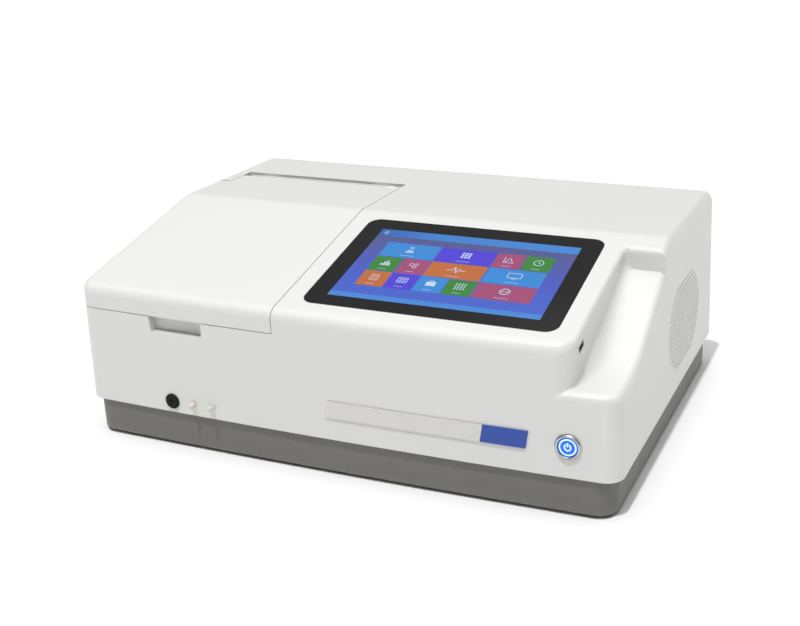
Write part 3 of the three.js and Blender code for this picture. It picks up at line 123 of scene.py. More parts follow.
# One material: its shader, and the nodes that most finishes need
class Surface:
    def __init__(self, name):
        self.material = bpy.data.materials.new(name)
        self.material.use_nodes = True
        self.tree = self.material.node_tree
        self.shader = self.tree.nodes["Principled BSDF"]
        self.place = makeNode(self.tree, "ShaderNodeTexCoord", output="Object")

    def node(self, kind, settings=None, inputs=None, output=0):
        return makeNode(self.tree, kind, settings, inputs, output)

    def set(self, **values):
        for name, value in values.items():
            socket = self.shader.inputs[name.replace("_", " ")]
            if isinstance(value, Wire):
                self.tree.links.new(value.socket, socket)
            elif isinstance(value, (tuple, list)) and len(value) == 3 and socket.type == "RGBA":
                socket.default_value = (*value, 1.0)
            else:
                socket.default_value = value

    def stretched(self, scale):
        return self.node("ShaderNodeMapping", {}, {"Vector": self.place, "Scale": scale})

    def noise(self, scale, detail=2.0, vector=None, roughness=0.5):
        return self.node("ShaderNodeTexNoise", {}, {
            "Vector": vector or self.place, "Scale": scale, "Detail": detail, "Roughness": roughness})

    def split(self, vector=None):
        source = vector or self.place
        return [self.node("ShaderNodeSeparateXYZ", {}, {0: source}, axis) for axis in range(3)]

    def mixColour(self, factor, a, b):
        return self.node("ShaderNodeMix", {"data_type": "RGBA"}, {0: factor, 6: a, 7: b}, 2)

    def bump(self, height, distance, strength=1.0):
        normal = self.node("ShaderNodeBump", {}, {
            "Height": height, "Distance": distance, "Strength": strength})
        self.set(Normal=normal)


# Colour drifts with broad noise, roughness with middling noise, and fine grain lifts the normal
def plainFinish(name, colour, roughness, metallic=0.0, drift=0.03, spread=0.06, grain=1400.0,
                grainDepth=0.00002, coat=0.0, **constants):
    surface = Surface(name)
    shade = surface.noise(9.0, 3.0)
    darker = tuple(c * (1 - 2 * drift) for c in colour)
    lighter = tuple(min(1.0, c * (1 + drift)) for c in colour)
    surface.set(Base_Color=surface.mixColour(shade, darker, lighter))
    surface.set(Roughness=surface.noise(60.0, 4.0) * (2 * spread) + (roughness - spread))
    surface.set(Metallic=metallic, Coat_Weight=coat, Coat_Roughness=0.08, **constants)
    surface.bump(surface.noise(grain, 2.0), grainDepth)
    return surface.material


# Fine parallel lines: noise squeezed along one axis
def brushedFinish(name, colour, roughness, stretch=(30, 900, 900), depth=0.000012, metallic=1.0):
    surface = Surface(name)
    lines = surface.noise(1.0, 3.0, surface.stretched(stretch))
    wear = surface.noise(14.0, 4.0)
    surface.set(Base_Color=surface.mixColour(
        lines * 0.5 + wear * 0.3, tuple(c * 0.82 for c in colour), colour))
    surface.set(Roughness=lines * 0.16 + wear * 0.1 + (roughness - 0.13), Metallic=metallic)
    surface.bump(lines, depth)
    return surface.material


shell = {"colour": (0.725, 0.725, 0.706), "roughness": 0.34, "grain": 2600.0, "grainDepth": 0.000012}


# Moulded plastic: a faint orange peel over a fine grain, with slow drifts of tone and gloss
def shellFinish():
    surface = Surface("whiteShell")
    tone = surface.noise(4.0, 2.0)
    base = shell["colour"]
    surface.set(Base_Color=surface.mixColour(tone, tuple(c * 0.975 for c in base), base))
    surface.set(Roughness=surface.noise(38.0, 3.0) * 0.08 + surface.noise(7.0, 2.0) * 0.06
                + (shell["roughness"] - 0.07))
    peel = surface.noise(160.0, 1.0) * 0.8
    surface.bump(peel + surface.noise(shell["grain"], 2.0) * 0.4, shell["grainDepth"])
    surface.set(Specular_IOR_Level=0.45)
    return surface.material


basePaint = {"colour": (0.158, 0.156, 0.144), "roughness": 0.52, "dust": (0.24, 0.235, 0.22),
             "dustHeight": (4 * mm, 12 * mm), "dustShare": 0.35}


# Textured powder coat: small rounded pits, with dust that gathers towards the bench
def paintFinish():
    surface = Surface("greyPaint")
    pits = surface.node("ShaderNodeTexVoronoi", {"feature": "SMOOTH_F1"}, {
        "Vector": surface.place, "Scale": 900.0})
    height, (start, end) = surface.split()[2], basePaint["dustHeight"]
    low = surface.node("ShaderNodeMapRange", {"clamp": True}, {
        0: height, 1: start, 2: end, 3: basePaint["dustShare"], 4: 0.0})
    colour = basePaint["colour"]
    tone = surface.mixColour(surface.noise(18.0, 4.0), tuple(c * 0.92 for c in colour), colour)
    surface.set(Base_Color=surface.mixColour(low * surface.noise(30.0, 5.0), tone, basePaint["dust"]))
    surface.set(Roughness=surface.noise(45.0, 4.0) * 0.14 + (basePaint["roughness"] - 0.07))
    surface.bump(pits * 0.7 + surface.noise(1800.0) * 0.3, 0.00005)
    return surface.material


# Clear cells: glass with faint ripples and a slow drift of its pale tint
def quartzFinish():
    surface = Surface("quartz")
    tint = surface.mixColour(surface.noise(40.0, 2.0), (0.93, 0.96, 0.97), (0.98, 0.99, 1.0))
    surface.set(Base_Color=tint)
    surface.set(Roughness=surface.noise(90.0, 3.0) * 0.05 + 0.02)
    surface.set(Transmission_Weight=0.92, IOR=1.46)
    surface.bump(surface.noise(300.0), 0.000004)
    return surface.material


# Solder mask with copper tracks along X, and pads where round cells have their middles
def boardFinish():
    surface = Surface("greenBoard")
    cells = surface.node("ShaderNodeTexVoronoi", {"distance": "MANHATTAN"},
                         {"Vector": surface.place, "Scale": 160.0})
    track = surface.noise(1.0, 0.0, surface.stretched((900, 60, 1))) > 0.58
    pads = cells < 0.12
    tone = surface.mixColour(track * 0.5, (0.012, 0.10, 0.045), (0.03, 0.19, 0.09))
    surface.set(Base_Color=surface.mixColour(pads, tone, (0.62, 0.55, 0.36)))
    surface.set(Roughness=0.55 - pads * 0.25, Metallic=pads * 0.9)
    surface.bump(track + pads, 0.00003)
    return surface.material


litCap = {"field": (0.022, 0.11, 0.88), "rim": (0.012, 0.05, 0.55), "glow": (0.42, 0.86, 1.0),
          "ring": (7.0 * mm, 8.3 * mm), "symbol": (2.4 * mm, 3.5 * mm), "softEdge": 0.35 * mm,
          "halfGap": 1.25 * mm, "bar": (0.55 * mm, 0.6 * mm, 4.6 * mm), "glowStrength": 0.85}


# Lit cap: a glowing ring near the rim and the usual on-off mark, both from the distance to the axis
def litFinish():
    surface = Surface("litBlue")
    centre = middle("power_button_cap")
    x, y, z = surface.split()
    dx, dz = x - centre[0], z - centre[2]
    radius = (dx * dx + dz * dz) ** 0.5
    soft = 1 / litCap["softEdge"]

    def band(value, low, high):
        inside = surface.node("ShaderNodeMath", {"operation": "MINIMUM"}, {
            0: (value - low) * soft, 1: (high - value) * soft})
        return surface.node("ShaderNodeClamp", {}, {0: inside + 0.5})

    across = abs(dx)
    gap = (across < litCap["halfGap"]) * (dz > 0.0)
    halfBar, barLow, barHigh = litCap["bar"]
    bar = band(across, -1.0, halfBar) * band(dz, barLow, barHigh)
    symbol = band(radius, *litCap["symbol"]) * (1 - gap)
    ring = band(radius, *litCap["ring"])
    glow = surface.node("ShaderNodeClamp", {}, {0: symbol + bar + ring})
    edge = surface.node("ShaderNodeMapRange", {"clamp": True}, {
        0: radius, 1: litCap["symbol"][1], 2: litCap["ring"][0], 3: 0.0, 4: 1.0})
    field = surface.mixColour(edge, litCap["field"], litCap["rim"])
    surface.set(Base_Color=surface.mixColour(glow, litCap["rim"], litCap["glow"]))
    surface.set(Emission_Color=surface.mixColour(glow, field, litCap["glow"]))
    surface.set(Emission_Strength=litCap["glowStrength"])
    surface.set(Roughness=surface.noise(300.0, 3.0) * 0.1 + 0.22, Coat_Weight=0.5, Coat_Roughness=0.1)
    surface.bump(surface.noise(900.0), 0.000004)
    return surface.material


# Foam and other open-celled stuff: round cells sunk into a matt ground, with painted shade darkening
# each cell towards its sunk middle
def foamFinish(name, colour, cells=900.0):
    surface = Surface(name)
    holes = surface.node("ShaderNodeTexVoronoi", {"feature": "SMOOTH_F1"}, {
        "Vector": surface.place, "Scale": cells})
    # painted shade: each cell's colour darkens towards its sunk middle, as if shade fell in the pore
    surface.set(Base_Color=surface.mixColour(holes, tuple(c * 0.55 for c in colour), colour))
    surface.set(Roughness=holes * 0.1 + 0.82, Specular_IOR_Level=0.2)
    surface.bump(holes, 0.0003)
    return surface.material


# What the display shows: each patch's own colour, lit from behind, under smooth glass
def pictureFinish():
    surface = Surface("displayPicture")
    colour = surface.node("ShaderNodeAttribute", {"attribute_name": "patchColour"}, {}, "Color")
    surface.set(Base_Color=(0.01, 0.01, 0.012), Emission_Color=colour, Emission_Strength=0.92)
    surface.set(Roughness=surface.noise(30.0) * 0.03 + 0.07, IOR=1.45)
    surface.bump(surface.noise(40.0), 0.0000008)
    return surface.material


# A coloured solution: clear and faintly darker towards the bottom of its cell
def liquidFinish(name, colour):
    surface = Surface(name)
    depth = surface.split()[2] * 12.0
    deep = surface.node("ShaderNodeClamp", {}, {0: 1.6 - depth})
    surface.set(Base_Color=surface.mixColour(deep, colour, tuple(c * 0.8 for c in colour)))
    surface.set(Roughness=surface.noise(50.0) * 0.02 + 0.02, Transmission_Weight=0.85, IOR=1.33)
    surface.bump(surface.noise(80.0), 0.000003)
    return surface.material


finishes = {
    "white_shell": shellFinish(),
    "grey_paint": paintFinish(),
    "steel": brushedFinish("steel", (0.55, 0.56, 0.57), 0.3),
    "aluminium": brushedFinish("aluminium", (0.62, 0.63, 0.64), 0.4, (25, 25, 900)),
    "silver": brushedFinish("silver", (0.71, 0.70, 0.68), 0.4, (18, 900, 1600), 0.000006, 0.55),
    "blue_label": plainFinish("blueLabel", (0.007, 0.060, 0.37), 0.4, drift=0.04, coat=0.15),
    "black_plastic": plainFinish("blackPlastic", (0.018, 0.018, 0.019), 0.5, grain=1600.0,
                                 grainDepth=0.00004),
    "black_rubber": plainFinish("blackRubber", (0.006, 0.006, 0.006), 0.7, drift=0.1, grain=1200.0,
                                grainDepth=0.00004, Specular_IOR_Level=0.25),
    "white_plastic": plainFinish("whitePlastic", (0.70, 0.63, 0.585), 0.42, drift=0.03,
                                 Subsurface_Weight=0.08, Subsurface_Radius=(0.004, 0.002, 0.001)),
    "zinc": plainFinish("zinc", (0.40, 0.41, 0.42), 0.34, 1.0, drift=0.08, spread=0.1, grain=300.0),
    "dark_anodised": plainFinish("darkAnodised", (0.028, 0.029, 0.032), 0.42, 0.6, grain=2200.0),
    "quartz": quartzFinish(),
    "mirror": plainFinish("mirrorCoat", (0.88, 0.89, 0.90), 0.05, 1.0, drift=0.01, spread=0.03,
                          grainDepth=0.000002),
    "brass": brushedFinish("brass", (0.62, 0.42, 0.17), 0.28, (900, 60, 900)),
    "green_board": boardFinish(),
    "black_glass": plainFinish("blackGlass", (0.0145, 0.0145, 0.0142), 0.09, drift=0.0, spread=0.015,
                               grain=40.0, grainDepth=0.0000008, IOR=1.45),
    "screen": plainFinish("screenBack", (0.05, 0.055, 0.06), 0.4, 0.5),
    "lit_blue": litFinish(),
}

record = frame["record"]
slots = {entry["node"]: entry["material_slot"] for entry in record["subparts"]}
bodies = {node: body for body, members in record["behaviour"]["bodies"].items() for node in members}


def addPiece(name, mesh, material, body="body"):
    piece = bpy.data.objects.new(name, mesh)
    bpy.context.scene.collection.objects.link(piece)
    mesh.materials.clear()
    mesh.materials.append(material)
    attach(piece, body)
    return piece


# A CAD node's triangles as one clean mesh: doubles merged, flat triangles joined into whole faces
def cleanMesh(node, reach=0.004 * mm, flat=0.25):
    mesh = frame["nodes"][node].data.copy()
    work = bmesh.new()
    work.from_mesh(mesh)
    bmesh.ops.remove_doubles(work, verts=work.verts, dist=reach)
    bmesh.ops.dissolve_limit(work, angle_limit=math.radians(flat), verts=work.verts, edges=work.edges)
    work.to_mesh(mesh)
    work.free()
    mesh.name = node + "Mesh"
    return mesh


def smoothByAngle(mesh, angle):
    mesh.shade_smooth()
    mesh.set_sharp_from_angle(angle=math.radians(angle))


# A node's own shape with its sharp edges eased, standing for the node
def easeEdges(node, width, segments=2, angle=36.0):
    mesh = cleanMesh(node)
    smoothByAngle(mesh, angle)
    piece = addPiece(node + "_eased", mesh, finishes[slots[node]], bodies[node])
    bevel = piece.modifiers.new("edges", "BEVEL")
    bevel.width = width
    bevel.segments = segments
    bevel.limit_method = "ANGLE"
    bevel.angle_limit = math.radians(angle)
    bevel.use_clamp_overlap = True
    weigh(piece)
    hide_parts(node)
    return piece


# Normals weighed by face area, so that broad faces stay flat up to their eased edges
def weigh(piece, strength=60):
    weighted = piece.modifiers.new("normals", "WEIGHTED_NORMAL")
    weighted.mode = "FACE_AREA"
    weighted.weight = strength
    weighted.keep_sharp = True


print("finishes made")

# Casing and lid: their broad rounds are in the frame, so only seams and openings are eased
casingEasing = {"width": 0.45 * mm, "segments": 2, "angle": 32}
for node in ("upper_casing", "sample_lid"):
    easeEdges(node, **casingEasing)
print("casing and lid eased")

# Width of each small node's eased edges, in millimetres
eased = {
    "base_pan": 0.8, "rear_panel": 0.2, "display_glass": 0.35, "nameplate": 0.15,
    "nameplate_label": 0.15, "power_button_bezel": 0.3, "access_plug": 0.3, "port_cap_left": 0.3,
    "port_cap_right": 0.3, "usb_socket": 0.15, "sample_well": 0.6, "cell_rail": 0.4,
    "cell_carriage": 0.4, "carriage_motor": 0.8, "reference_holder": 0.4, "lead_screw": 0.3,
    "optical_bench": 0.5, "lamp_housing": 0.4, "monochromator_housing": 0.5, "grating_mount": 0.4,
    "filter_wheel": 0.2, "fold_mirror": 0.2, "beam_splitter": 0.2, "sample_detector": 0.6,
    "reference_detector": 0.6, "power_supply": 0.5, "fan_frame": 0.5, "fan_rotor": 0.3,
    "mains_inlet": 0.3, "fuse_drawer": 0.3, "usb_b_socket": 0.2, "serial_socket": 0.3,
    "reference_cuvette": 0.2, "power_button_cap": 0.3,
}
alike = {"names": ("side_screw", "foot_", "lid_hinge_pin", "port_fitting", "cuvette_"), "width": 0.2}
for node in frame["nodes"]:
    if node.startswith(alike["names"]):
        eased[node] = alike["width"]
for node, width in eased.items():
    easeEdges(node, width * mm)
print("small pieces eased")

# Nodes that keep their own mesh take a finish in their slots
for node, thing in frame["nodes"].items():
    finish = finishes[slots[node]]
    if not thing.material_slots:
        thing.data.materials.append(finish)
    for place in thing.material_slots:
        place.material = finish


# Every surface function below gives its points, and the faces between them from here.
# Faces of a grid: each joins a point to its next in both directions, going round where it wraps
def gridFaces(rows, columns, wrapRows=False, wrapColumns=False):
    r, c = np.meshgrid(np.arange(rows if wrapRows else rows - 1),
                       np.arange(columns if wrapColumns else columns - 1), indexing="ij")
    nextR, nextC = (r + 1) % rows, (c + 1) % columns
    around = [r * columns + c, r * columns + nextC, nextR * columns + nextC, nextR * columns + c]
    return np.stack(around, -1).reshape(-1, 4)


# The axis at unit length, and two directions square to it and to each other
def sideAxes(axis):
    axis = np.array(axis, float) / np.linalg.norm(axis)
    helper = np.array([0, 0, 1.0]) if abs(axis[2]) < 0.9 else np.array([1.0, 0, 0])
    side = np.cross(helper, axis)
    side /= np.linalg.norm(side)
    return axis, side, np.cross(axis, side)


# Turned: centre + along * axis + radius * (cos(angle) * side + sin(angle) * up)
def turned(profile, centre, axis, steps=32):
    axis, side, up = sideAxes(axis)
    along, radius = np.array(profile, float).T[:, :, None, None]
    angle = np.linspace(0, 2 * math.pi, steps, endpoint=False)[None, :, None]
    points = np.array(centre) + along * axis + radius * (np.cos(angle) * side + np.sin(angle) * up)
    return points.reshape(-1, 3), gridFaces(len(profile), steps, wrapColumns=True)


# Rounded box: a unit ball's point, scaled to the rounding and pushed out by its signs to the box
def roundedBox(centre, size, rounding, steps=4):
    gap = 1e-4
    turn = np.concatenate([np.linspace(k + gap, k + 1 - gap, steps) for k in range(4)]) * math.pi / 2
    rise = np.concatenate([np.linspace(k + gap, k + 1 - gap, steps) for k in (-1, 0)]) * math.pi / 2
    turn, rise = turn[None, :], rise[:, None]
    ball = np.stack([np.cos(rise) * np.cos(turn), np.cos(rise) * np.sin(turn),
                     np.sin(rise) * np.ones_like(turn)], -1)
    inner = np.maximum(np.array(size) / 2 - rounding, 0)
    points = (np.array(centre) + np.sign(ball) * inner + rounding * ball).reshape(-1, 3)
    return points, gridFaces(*ball.shape[:2], wrapColumns=True)


# Carried: a round section of this radius carried along a path, in the frame of a fixed normal
def carried(path, radius, normal, closed=False, steps=10):
    path = np.array(path, float)
    ahead = np.roll(path, -1, 0) - np.roll(path, 1, 0)
    if not closed:
        ahead[0], ahead[-1] = path[1] - path[0], path[-1] - path[-2]
    ahead /= np.linalg.norm(ahead, axis=1)[:, None]
    side = np.cross(ahead, np.array(normal, float))
    side /= np.linalg.norm(side, axis=1)[:, None]
    up = np.cross(side, ahead)
    angle = np.linspace(0, 2 * math.pi, steps, endpoint=False)[None, :, None]
    points = path[:, None] + radius * (np.cos(angle) * side[:, None] + np.sin(angle) * up[:, None])
    return points.reshape(-1, 3), gridFaces(len(path), steps, closed, True)


# Several surfaces in one mesh, each one's faces counted on from the points before it
def stackedMesh(name, surfaces):
    starts = np.cumsum([0] + [len(points) for points, faces in surfaces[:-1]])
    points = np.concatenate([part[0] for part in surfaces])
    faces = np.concatenate([part[1] + start for part, start in zip(surfaces, starts)])
    mesh = bpy.data.meshes.new(name + "Mesh")
    mesh.from_pydata(points.tolist(), [], faces.tolist())
    return mesh


# Several surfaces as one piece's mesh: doubles merged, open ends capped, faces turned outwards
def joined(name, surfaces, smooth=40, closed=True):
    mesh = stackedMesh(name, surfaces)
    work = bmesh.new()
    work.from_mesh(mesh)
    bmesh.ops.remove_doubles(work, verts=work.verts, dist=0.002 * mm)
    if closed:
        bmesh.ops.holes_fill(work, edges=[edge for edge in work.edges if edge.is_boundary], sides=0)
        bmesh.ops.recalc_face_normals(work, faces=work.faces)
    work.to_mesh(mesh)
    work.free()
    smoothByAngle(mesh, smooth)
    return mesh


# Screw head seen along its axis: a low dome, sunk where a cross lies within its reach
def screwHead(centre, axis, radius, height, steps=40, rings=14):
    axis, side, up = sideAxes(axis)
    r = np.concatenate([np.linspace(0, 1, rings), [1.0]])[:, None] * radius
    angle = np.linspace(0, 2 * math.pi, steps, endpoint=False)[None, :]
    a, b = r * np.cos(angle), r * np.sin(angle)
    dome = height * (1 - 0.45 * (r / radius) ** 2) + 0 * a
    narrow = np.minimum(np.abs(a), np.abs(b))
    sunk = (narrow < 0.14 * radius) & (r < 0.62 * radius)
    rise = np.where(sunk, height * 0.35, dome)
    rise[-1] = 0
    points = np.array(centre) + a[..., None] * side + b[..., None] * up + rise[..., None] * axis
    return points.reshape(-1, 3), gridFaces(rings + 1, steps, wrapColumns=True)


# The slope's frame: across from the glass's left edge, down from its top edge, and out of it
glassLeft = corners("display_glass")[0][0]
glass = {"fromFold": 18.6 * mm, "length": 167 * mm, "proud": 0.2 * mm}


# A place on the slope: fold + along * (ahead, rise) + lift * (-rise, ahead)
def onSlope(across, down, lift):
    along = glass["fromFold"] + glass["length"] - down
    lift = lift + glass["proud"]
    ahead, rise = math.cos(slopeAngle), math.sin(slopeAngle)
    return np.stack([glassLeft + across, frontY + along * ahead - lift * rise,
                     casing["foldHeight"] + along * rise + lift * ahead], -1)


# What the display shows, in millimetres across and down: a bar, rows of tiles and a lower bar
display = {
    "area": (21.4, 19.4, 237.6, 150.0), "topBar": 13.2, "lowerBar": 8.0, "tileStart": (39.6, 44.0),
    "pitch": (30.2, 28.0), "tile": (29.0, 27.0), "step": 0.02,
    "sky": ["5A5A80", "5560A8", "4F5FC4", "4B66D0", "4A6AD0"],
    "bar": ["3F7FD0", "4A8CDC"],
    "tiles": {"l": "3C8FDD", "i": "5444DC", "p": "A8507A", "g": "3F8A3A", "o": "C8703A"},
    "rows": [[("l", 2, "flask"), ("i", 2, "grid"), ("p", 1, "axes"), ("g", 1, "clock")],
             [("g", 1, "bars"), ("p", 1, "cells"), ("o", 2, "pulse"), ("l", 2, "screen")],
             [("o", 1, "sheet"), ("i", 1, "table"), ("l", 1, "case"), ("g", 1, "dots"),
              ("p", 2, "globe")]],
    "ink": "CFE0F6", "corner": {"width": 52, "shades": ["3465B4", "3F7FD0"]}, "markUp": 2.2,
    "lift": 0.03,
    "caption": {"wide": {1: 9, 2: 15}, "top": 4.4, "bottom": 3.9},
}


# A six-letter colour as linear light: a straight foot, then a power of 2.4
def fromHex(text):
    parts = np.array([int(text[i:i + 2], 16) / 255 for i in (0, 2, 4)])
    return np.where(parts <= 0.04045, parts / 12.92, ((parts + 0.055) / 1.055) ** 2.4)


# Flat patches on the slope, each with its own colour and level
class Picture:
    def __init__(self):
        self.surfaces = []
        self.colours = []

    # A grid of points across and down, level steps above the glass
    def patch(self, across, down, level, colour):
        lift = (display["lift"] + display["step"] * level) * mm
        rows, columns = across.shape
        points = onSlope(across * mm, down * mm, lift).reshape(-1, 3)
        self.surfaces.append((points, gridFaces(rows, columns)))
        colour = np.broadcast_to(np.asarray(colour, float), (rows, columns, 3)).reshape(-1, 3)
        self.colours.append(colour)

    # Rectangle between two corners; a list of colours runs down it
    def block(self, left, top, right, bottom, level, shades, sideways=False):
        shades = [shades] if isinstance(shades, str) else shades
        colours = np.array([fromHex(shade) for shade in shades] * (2 if len(shades) == 1 else 1))
        share = np.linspace(0, 1, len(colours))
        down, across = np.meshgrid(bottom + (top - bottom) * share[::-1], [left, right], indexing="ij")
        if sideways:
            down, across = np.meshgrid([top, bottom], left + (right - left) * share, indexing="ij")
            self.patch(across, down, level, colours[None, :, :])
        else:
            self.patch(across, down, level, colours[:, None, :])

    # Ring round a middle between two radii, from one turn to another
    def ring(self, across, down, inner, outer, level=3, start=0.0, end=1.0, stretch=1.0):
        turn = np.linspace(start, end, 33)[None, :] * 2 * math.pi
        radius = np.array([[outer], [inner]])
        self.patch(across + radius * np.sin(turn) * stretch, down - radius * np.cos(turn), level,
                   fromHex(display["ink"]))

    # Rectangle's outline of this width
    def outline(self, left, top, right, bottom, width):
        self.line([(left, top), (right, top), (right, bottom), (left, bottom), (left, top)], width)

    # Line of this width through points
    def line(self, points, width, level=3):
        for (a, b), (c, d) in zip(points[:-1], points[1:]):
            long = math.hypot(c - a, d - b)
            offA, offB = -(d - b) / long * width / 2, (c - a) / long * width / 2
            across = np.array([[a + offA, c + offA], [a - offA, c - offA]])
            down = np.array([[b + offB, d + offB], [b - offB, d - offB]])
            self.patch(across, down, level, fromHex(display["ink"]))


def drawMark(picture, kind, x, y):
    if kind == "flask":
        picture.line([(x - 1.2, y - 5), (x - 1.2, y - 1), (x - 4.4, y + 5), (x + 4.4, y + 5),
                      (x + 1.2, y - 1), (x + 1.2, y - 5)], 0.7)
        picture.line([(x - 2.2, y - 5), (x + 2.2, y - 5)], 0.8)
        picture.block(x - 3, y + 1.8, x + 3, y + 4.4, 3, display["ink"])
    elif kind == "grid":
        for k in range(3):
            for m in range(3):
                left, top = x - 5 + k * 3.6, y - 5 + m * 3.6
                picture.block(left, top, left + 2.6, top + 2.6, 3, display["ink"])
    elif kind == "axes":
        picture.line([(x - 5, y - 5), (x - 5, y + 5), (x + 5.5, y + 5)], 0.8)
        across = np.linspace(-4, 5, 12)
        bell = 7.5 * np.exp(-((across - 0.5) / 2.2) ** 2)
        picture.line(list(zip(x + across, y + 4 - bell)), 0.7)
    elif kind == "clock":
        picture.ring(x, y, 4.4, 5.3)
        picture.line([(x, y - 3), (x, y), (x + 2.4, y + 1.4)], 0.7)
    elif kind == "bars":
        for k, high in enumerate((3.5, 6.5, 9.0, 5.0)):
            picture.block(x - 5 + k * 2.7, y + 5 - high, x - 3 + k * 2.7, y + 5, 3, display["ink"])
    elif kind == "cells":
        for dx, dy, r in ((-2.4, -1.4, 2.6), (2.6, -2.6, 1.8), (1.6, 2.8, 2.3)):
            picture.ring(x + dx, y + dy, r - 0.7, r)
    elif kind == "pulse":
        picture.line([(x - 10, y + 1), (x - 4, y + 1), (x - 2, y - 5), (x + 1, y + 5), (x + 3.4, y - 2),
                      (x + 5, y + 1), (x + 10, y + 1)], 0.9)
    elif kind == "screen":
        picture.outline(x - 7, y - 5, x + 7, y + 3, 0.8)
        picture.block(x - 3, y + 4.2, x + 3, y + 5.2, 3, display["ink"])
    elif kind == "sheet":
        picture.outline(x - 3.8, y - 5, x + 3.8, y + 5, 0.7)
        for k in range(3):
            picture.line([(x - 2.2, y - 2.4 + k * 2.4), (x + 2.2, y - 2.4 + k * 2.4)], 0.6)
    elif kind == "table":
        picture.outline(x - 5, y - 4.4, x + 5, y + 4.4, 0.7)
        for k in (-1.6, 1.6):
            picture.line([(x - 5, y + k), (x + 5, y + k)], 0.6)
            picture.line([(x + k, y - 4.4), (x + k, y + 4.4)], 0.6)
    elif kind == "case":
        picture.block(x - 5, y - 2.6, x + 5, y + 4.6, 3, display["ink"])
        picture.line([(x - 2, y - 2.6), (x - 2, y - 4.6), (x + 2, y - 4.6), (x + 2, y - 2.6)], 0.8)
    elif kind == "dots":
        for k in range(4):
            for m in range(4):
                picture.ring(x - 4.5 + k * 3, y - 4.5 + m * 3, 0.0, 0.95)
    elif kind == "globe":
        picture.ring(x, y, 4.6, 5.4)
        picture.ring(x, y, 4.7, 5.4, stretch=0.45)
        picture.line([(x - 5, y), (x + 5, y)], 0.6)


def makePicture():
    picture = Picture()
    left, top, right, bottom = display["area"]
    picture.block(left, top, right, bottom, 0, display["sky"])
    picture.block(left, top, right, top + display["topBar"], 1, display["bar"], sideways=True)
    picture.block(left, bottom - display["lowerBar"], right, bottom, 1, display["bar"][1])
    corner, caption = display["corner"], display["caption"]
    picture.block(left, top, left + corner["width"], top + display["topBar"], 2, corner["shades"],
                  sideways=True)
    for k in range(3):  # a menu mark at the bar's left
        picture.line([(left + 5, top + 4.4 + 2.2 * k), (left + 10, top + 4.4 + 2.2 * k)], 0.7)
    for r, row in enumerate(display["rows"]):
        column = 0
        for shade, span, kind in row:
            x0 = display["tileStart"][0] + column * display["pitch"][0]
            y0 = display["tileStart"][1] + r * display["pitch"][1]
            x1 = x0 + display["tile"][0] + (span - 1) * display["pitch"][0]
            y1 = y0 + display["tile"][1]
            picture.block(x0, y0, x1, y1, 1, display["tiles"][shade])
            drawMark(picture, kind, (x0 + x1) / 2, (y0 + y1) / 2 - display["markUp"])
            wide = caption["wide"][span]
            picture.block((x0 + x1 - wide) / 2, y1 - caption["top"], (x0 + x1 + wide) / 2,
                          y1 - caption["bottom"], 3, display["ink"])
            column += span
    mesh = stackedMesh("displayPicture", picture.surfaces)
    colours = np.concatenate(picture.colours)
    attribute = mesh.color_attributes.new("patchColour", "FLOAT_COLOR", "POINT")
    attribute.data.foreach_set("color", np.column_stack([colours, np.ones(len(colours))]).ravel())
    outward = np.array([0, -math.sin(slopeAngle), math.cos(slopeAngle)])
    normals = np.array([face.normal for face in mesh.polygons])
    backwards = np.nonzero(normals @ outward < 0)[0]
    work = bmesh.new()
    work.from_mesh(mesh)
    work.faces.ensure_lookup_table()
    bmesh.ops.reverse_faces(work, faces=[work.faces[i] for i in backwards])
    work.to_mesh(mesh)
    work.free()
    addPiece("display_picture", mesh, pictureFinish())


makePicture()
print("display picture made")

# Louvre baffle: a pleated sheet just behind the slits, x going in and out with height
louvres = {"rise": 66.3 * mm, "fromRear": 154 * mm, "half": (72 * mm, 50 * mm), "pitch": 5 * mm,
           "depth": 3.2 * mm, "inward": 0.25, "behind": 1.0 * mm, "thickness": 0.8 * mm, "fill": 0.96}


# Baffle: x goes in with the height's place in its pitch, y runs out to an ellipse
def makeBaffle():
    height = casing["lowerEdge"] + louvres["rise"]
    folds = np.arange(-louvres["half"][1], louvres["half"][1] + 1e-6, louvres["pitch"] / 6)
    place = (folds / louvres["pitch"]) % 1.0
    inward = louvres["inward"]
    into = np.where(place < inward, place / inward, (1 - place) / (1 - inward)) * louvres["depth"]
    z = height + folds
    lean = casing["sideLean"] * (z - casing["lowerEdge"])
    wall = halfWidth - lean - casing["wall"] - louvres["behind"]
    share = np.clip(np.abs(folds) / louvres["half"][1] * louvres["fill"], 0, 1)
    reach = louvres["half"][0] * np.sqrt(1 - share ** 2)
    along = np.linspace(-1, 1, 13)
    y = rearY - louvres["fromRear"] + along[None, :] * reach[:, None]
    points = np.stack([np.broadcast_to((wall - into)[:, None], y.shape), y,
                       np.broadcast_to(z[:, None], y.shape)], -1)
    surface = (points.reshape(-1, 3), gridFaces(*y.shape))
    piece = addPiece("louvre_baffle", joined("louvreBaffle", [surface], 50, closed=False),
                     finishes["white_shell"])
    solid = piece.modifiers.new("thickness", "SOLIDIFY")
    solid.thickness = louvres["thickness"]
    solid.offset = -1.0


makeBaffle()
print("louvre baffle made")

# Hinge trough: a white liner behind and below the hinge, its section carried along the slot
trough = {"behind": 9.1 * mm, "top": 3.3 * mm, "depth": 24 * mm, "ahead": 15 * mm, "round": 6 * mm,
          "pastPin": 30 * mm, "lidGap": 0.5 * mm, "rows": 9, "thickness": 0.8 * mm}


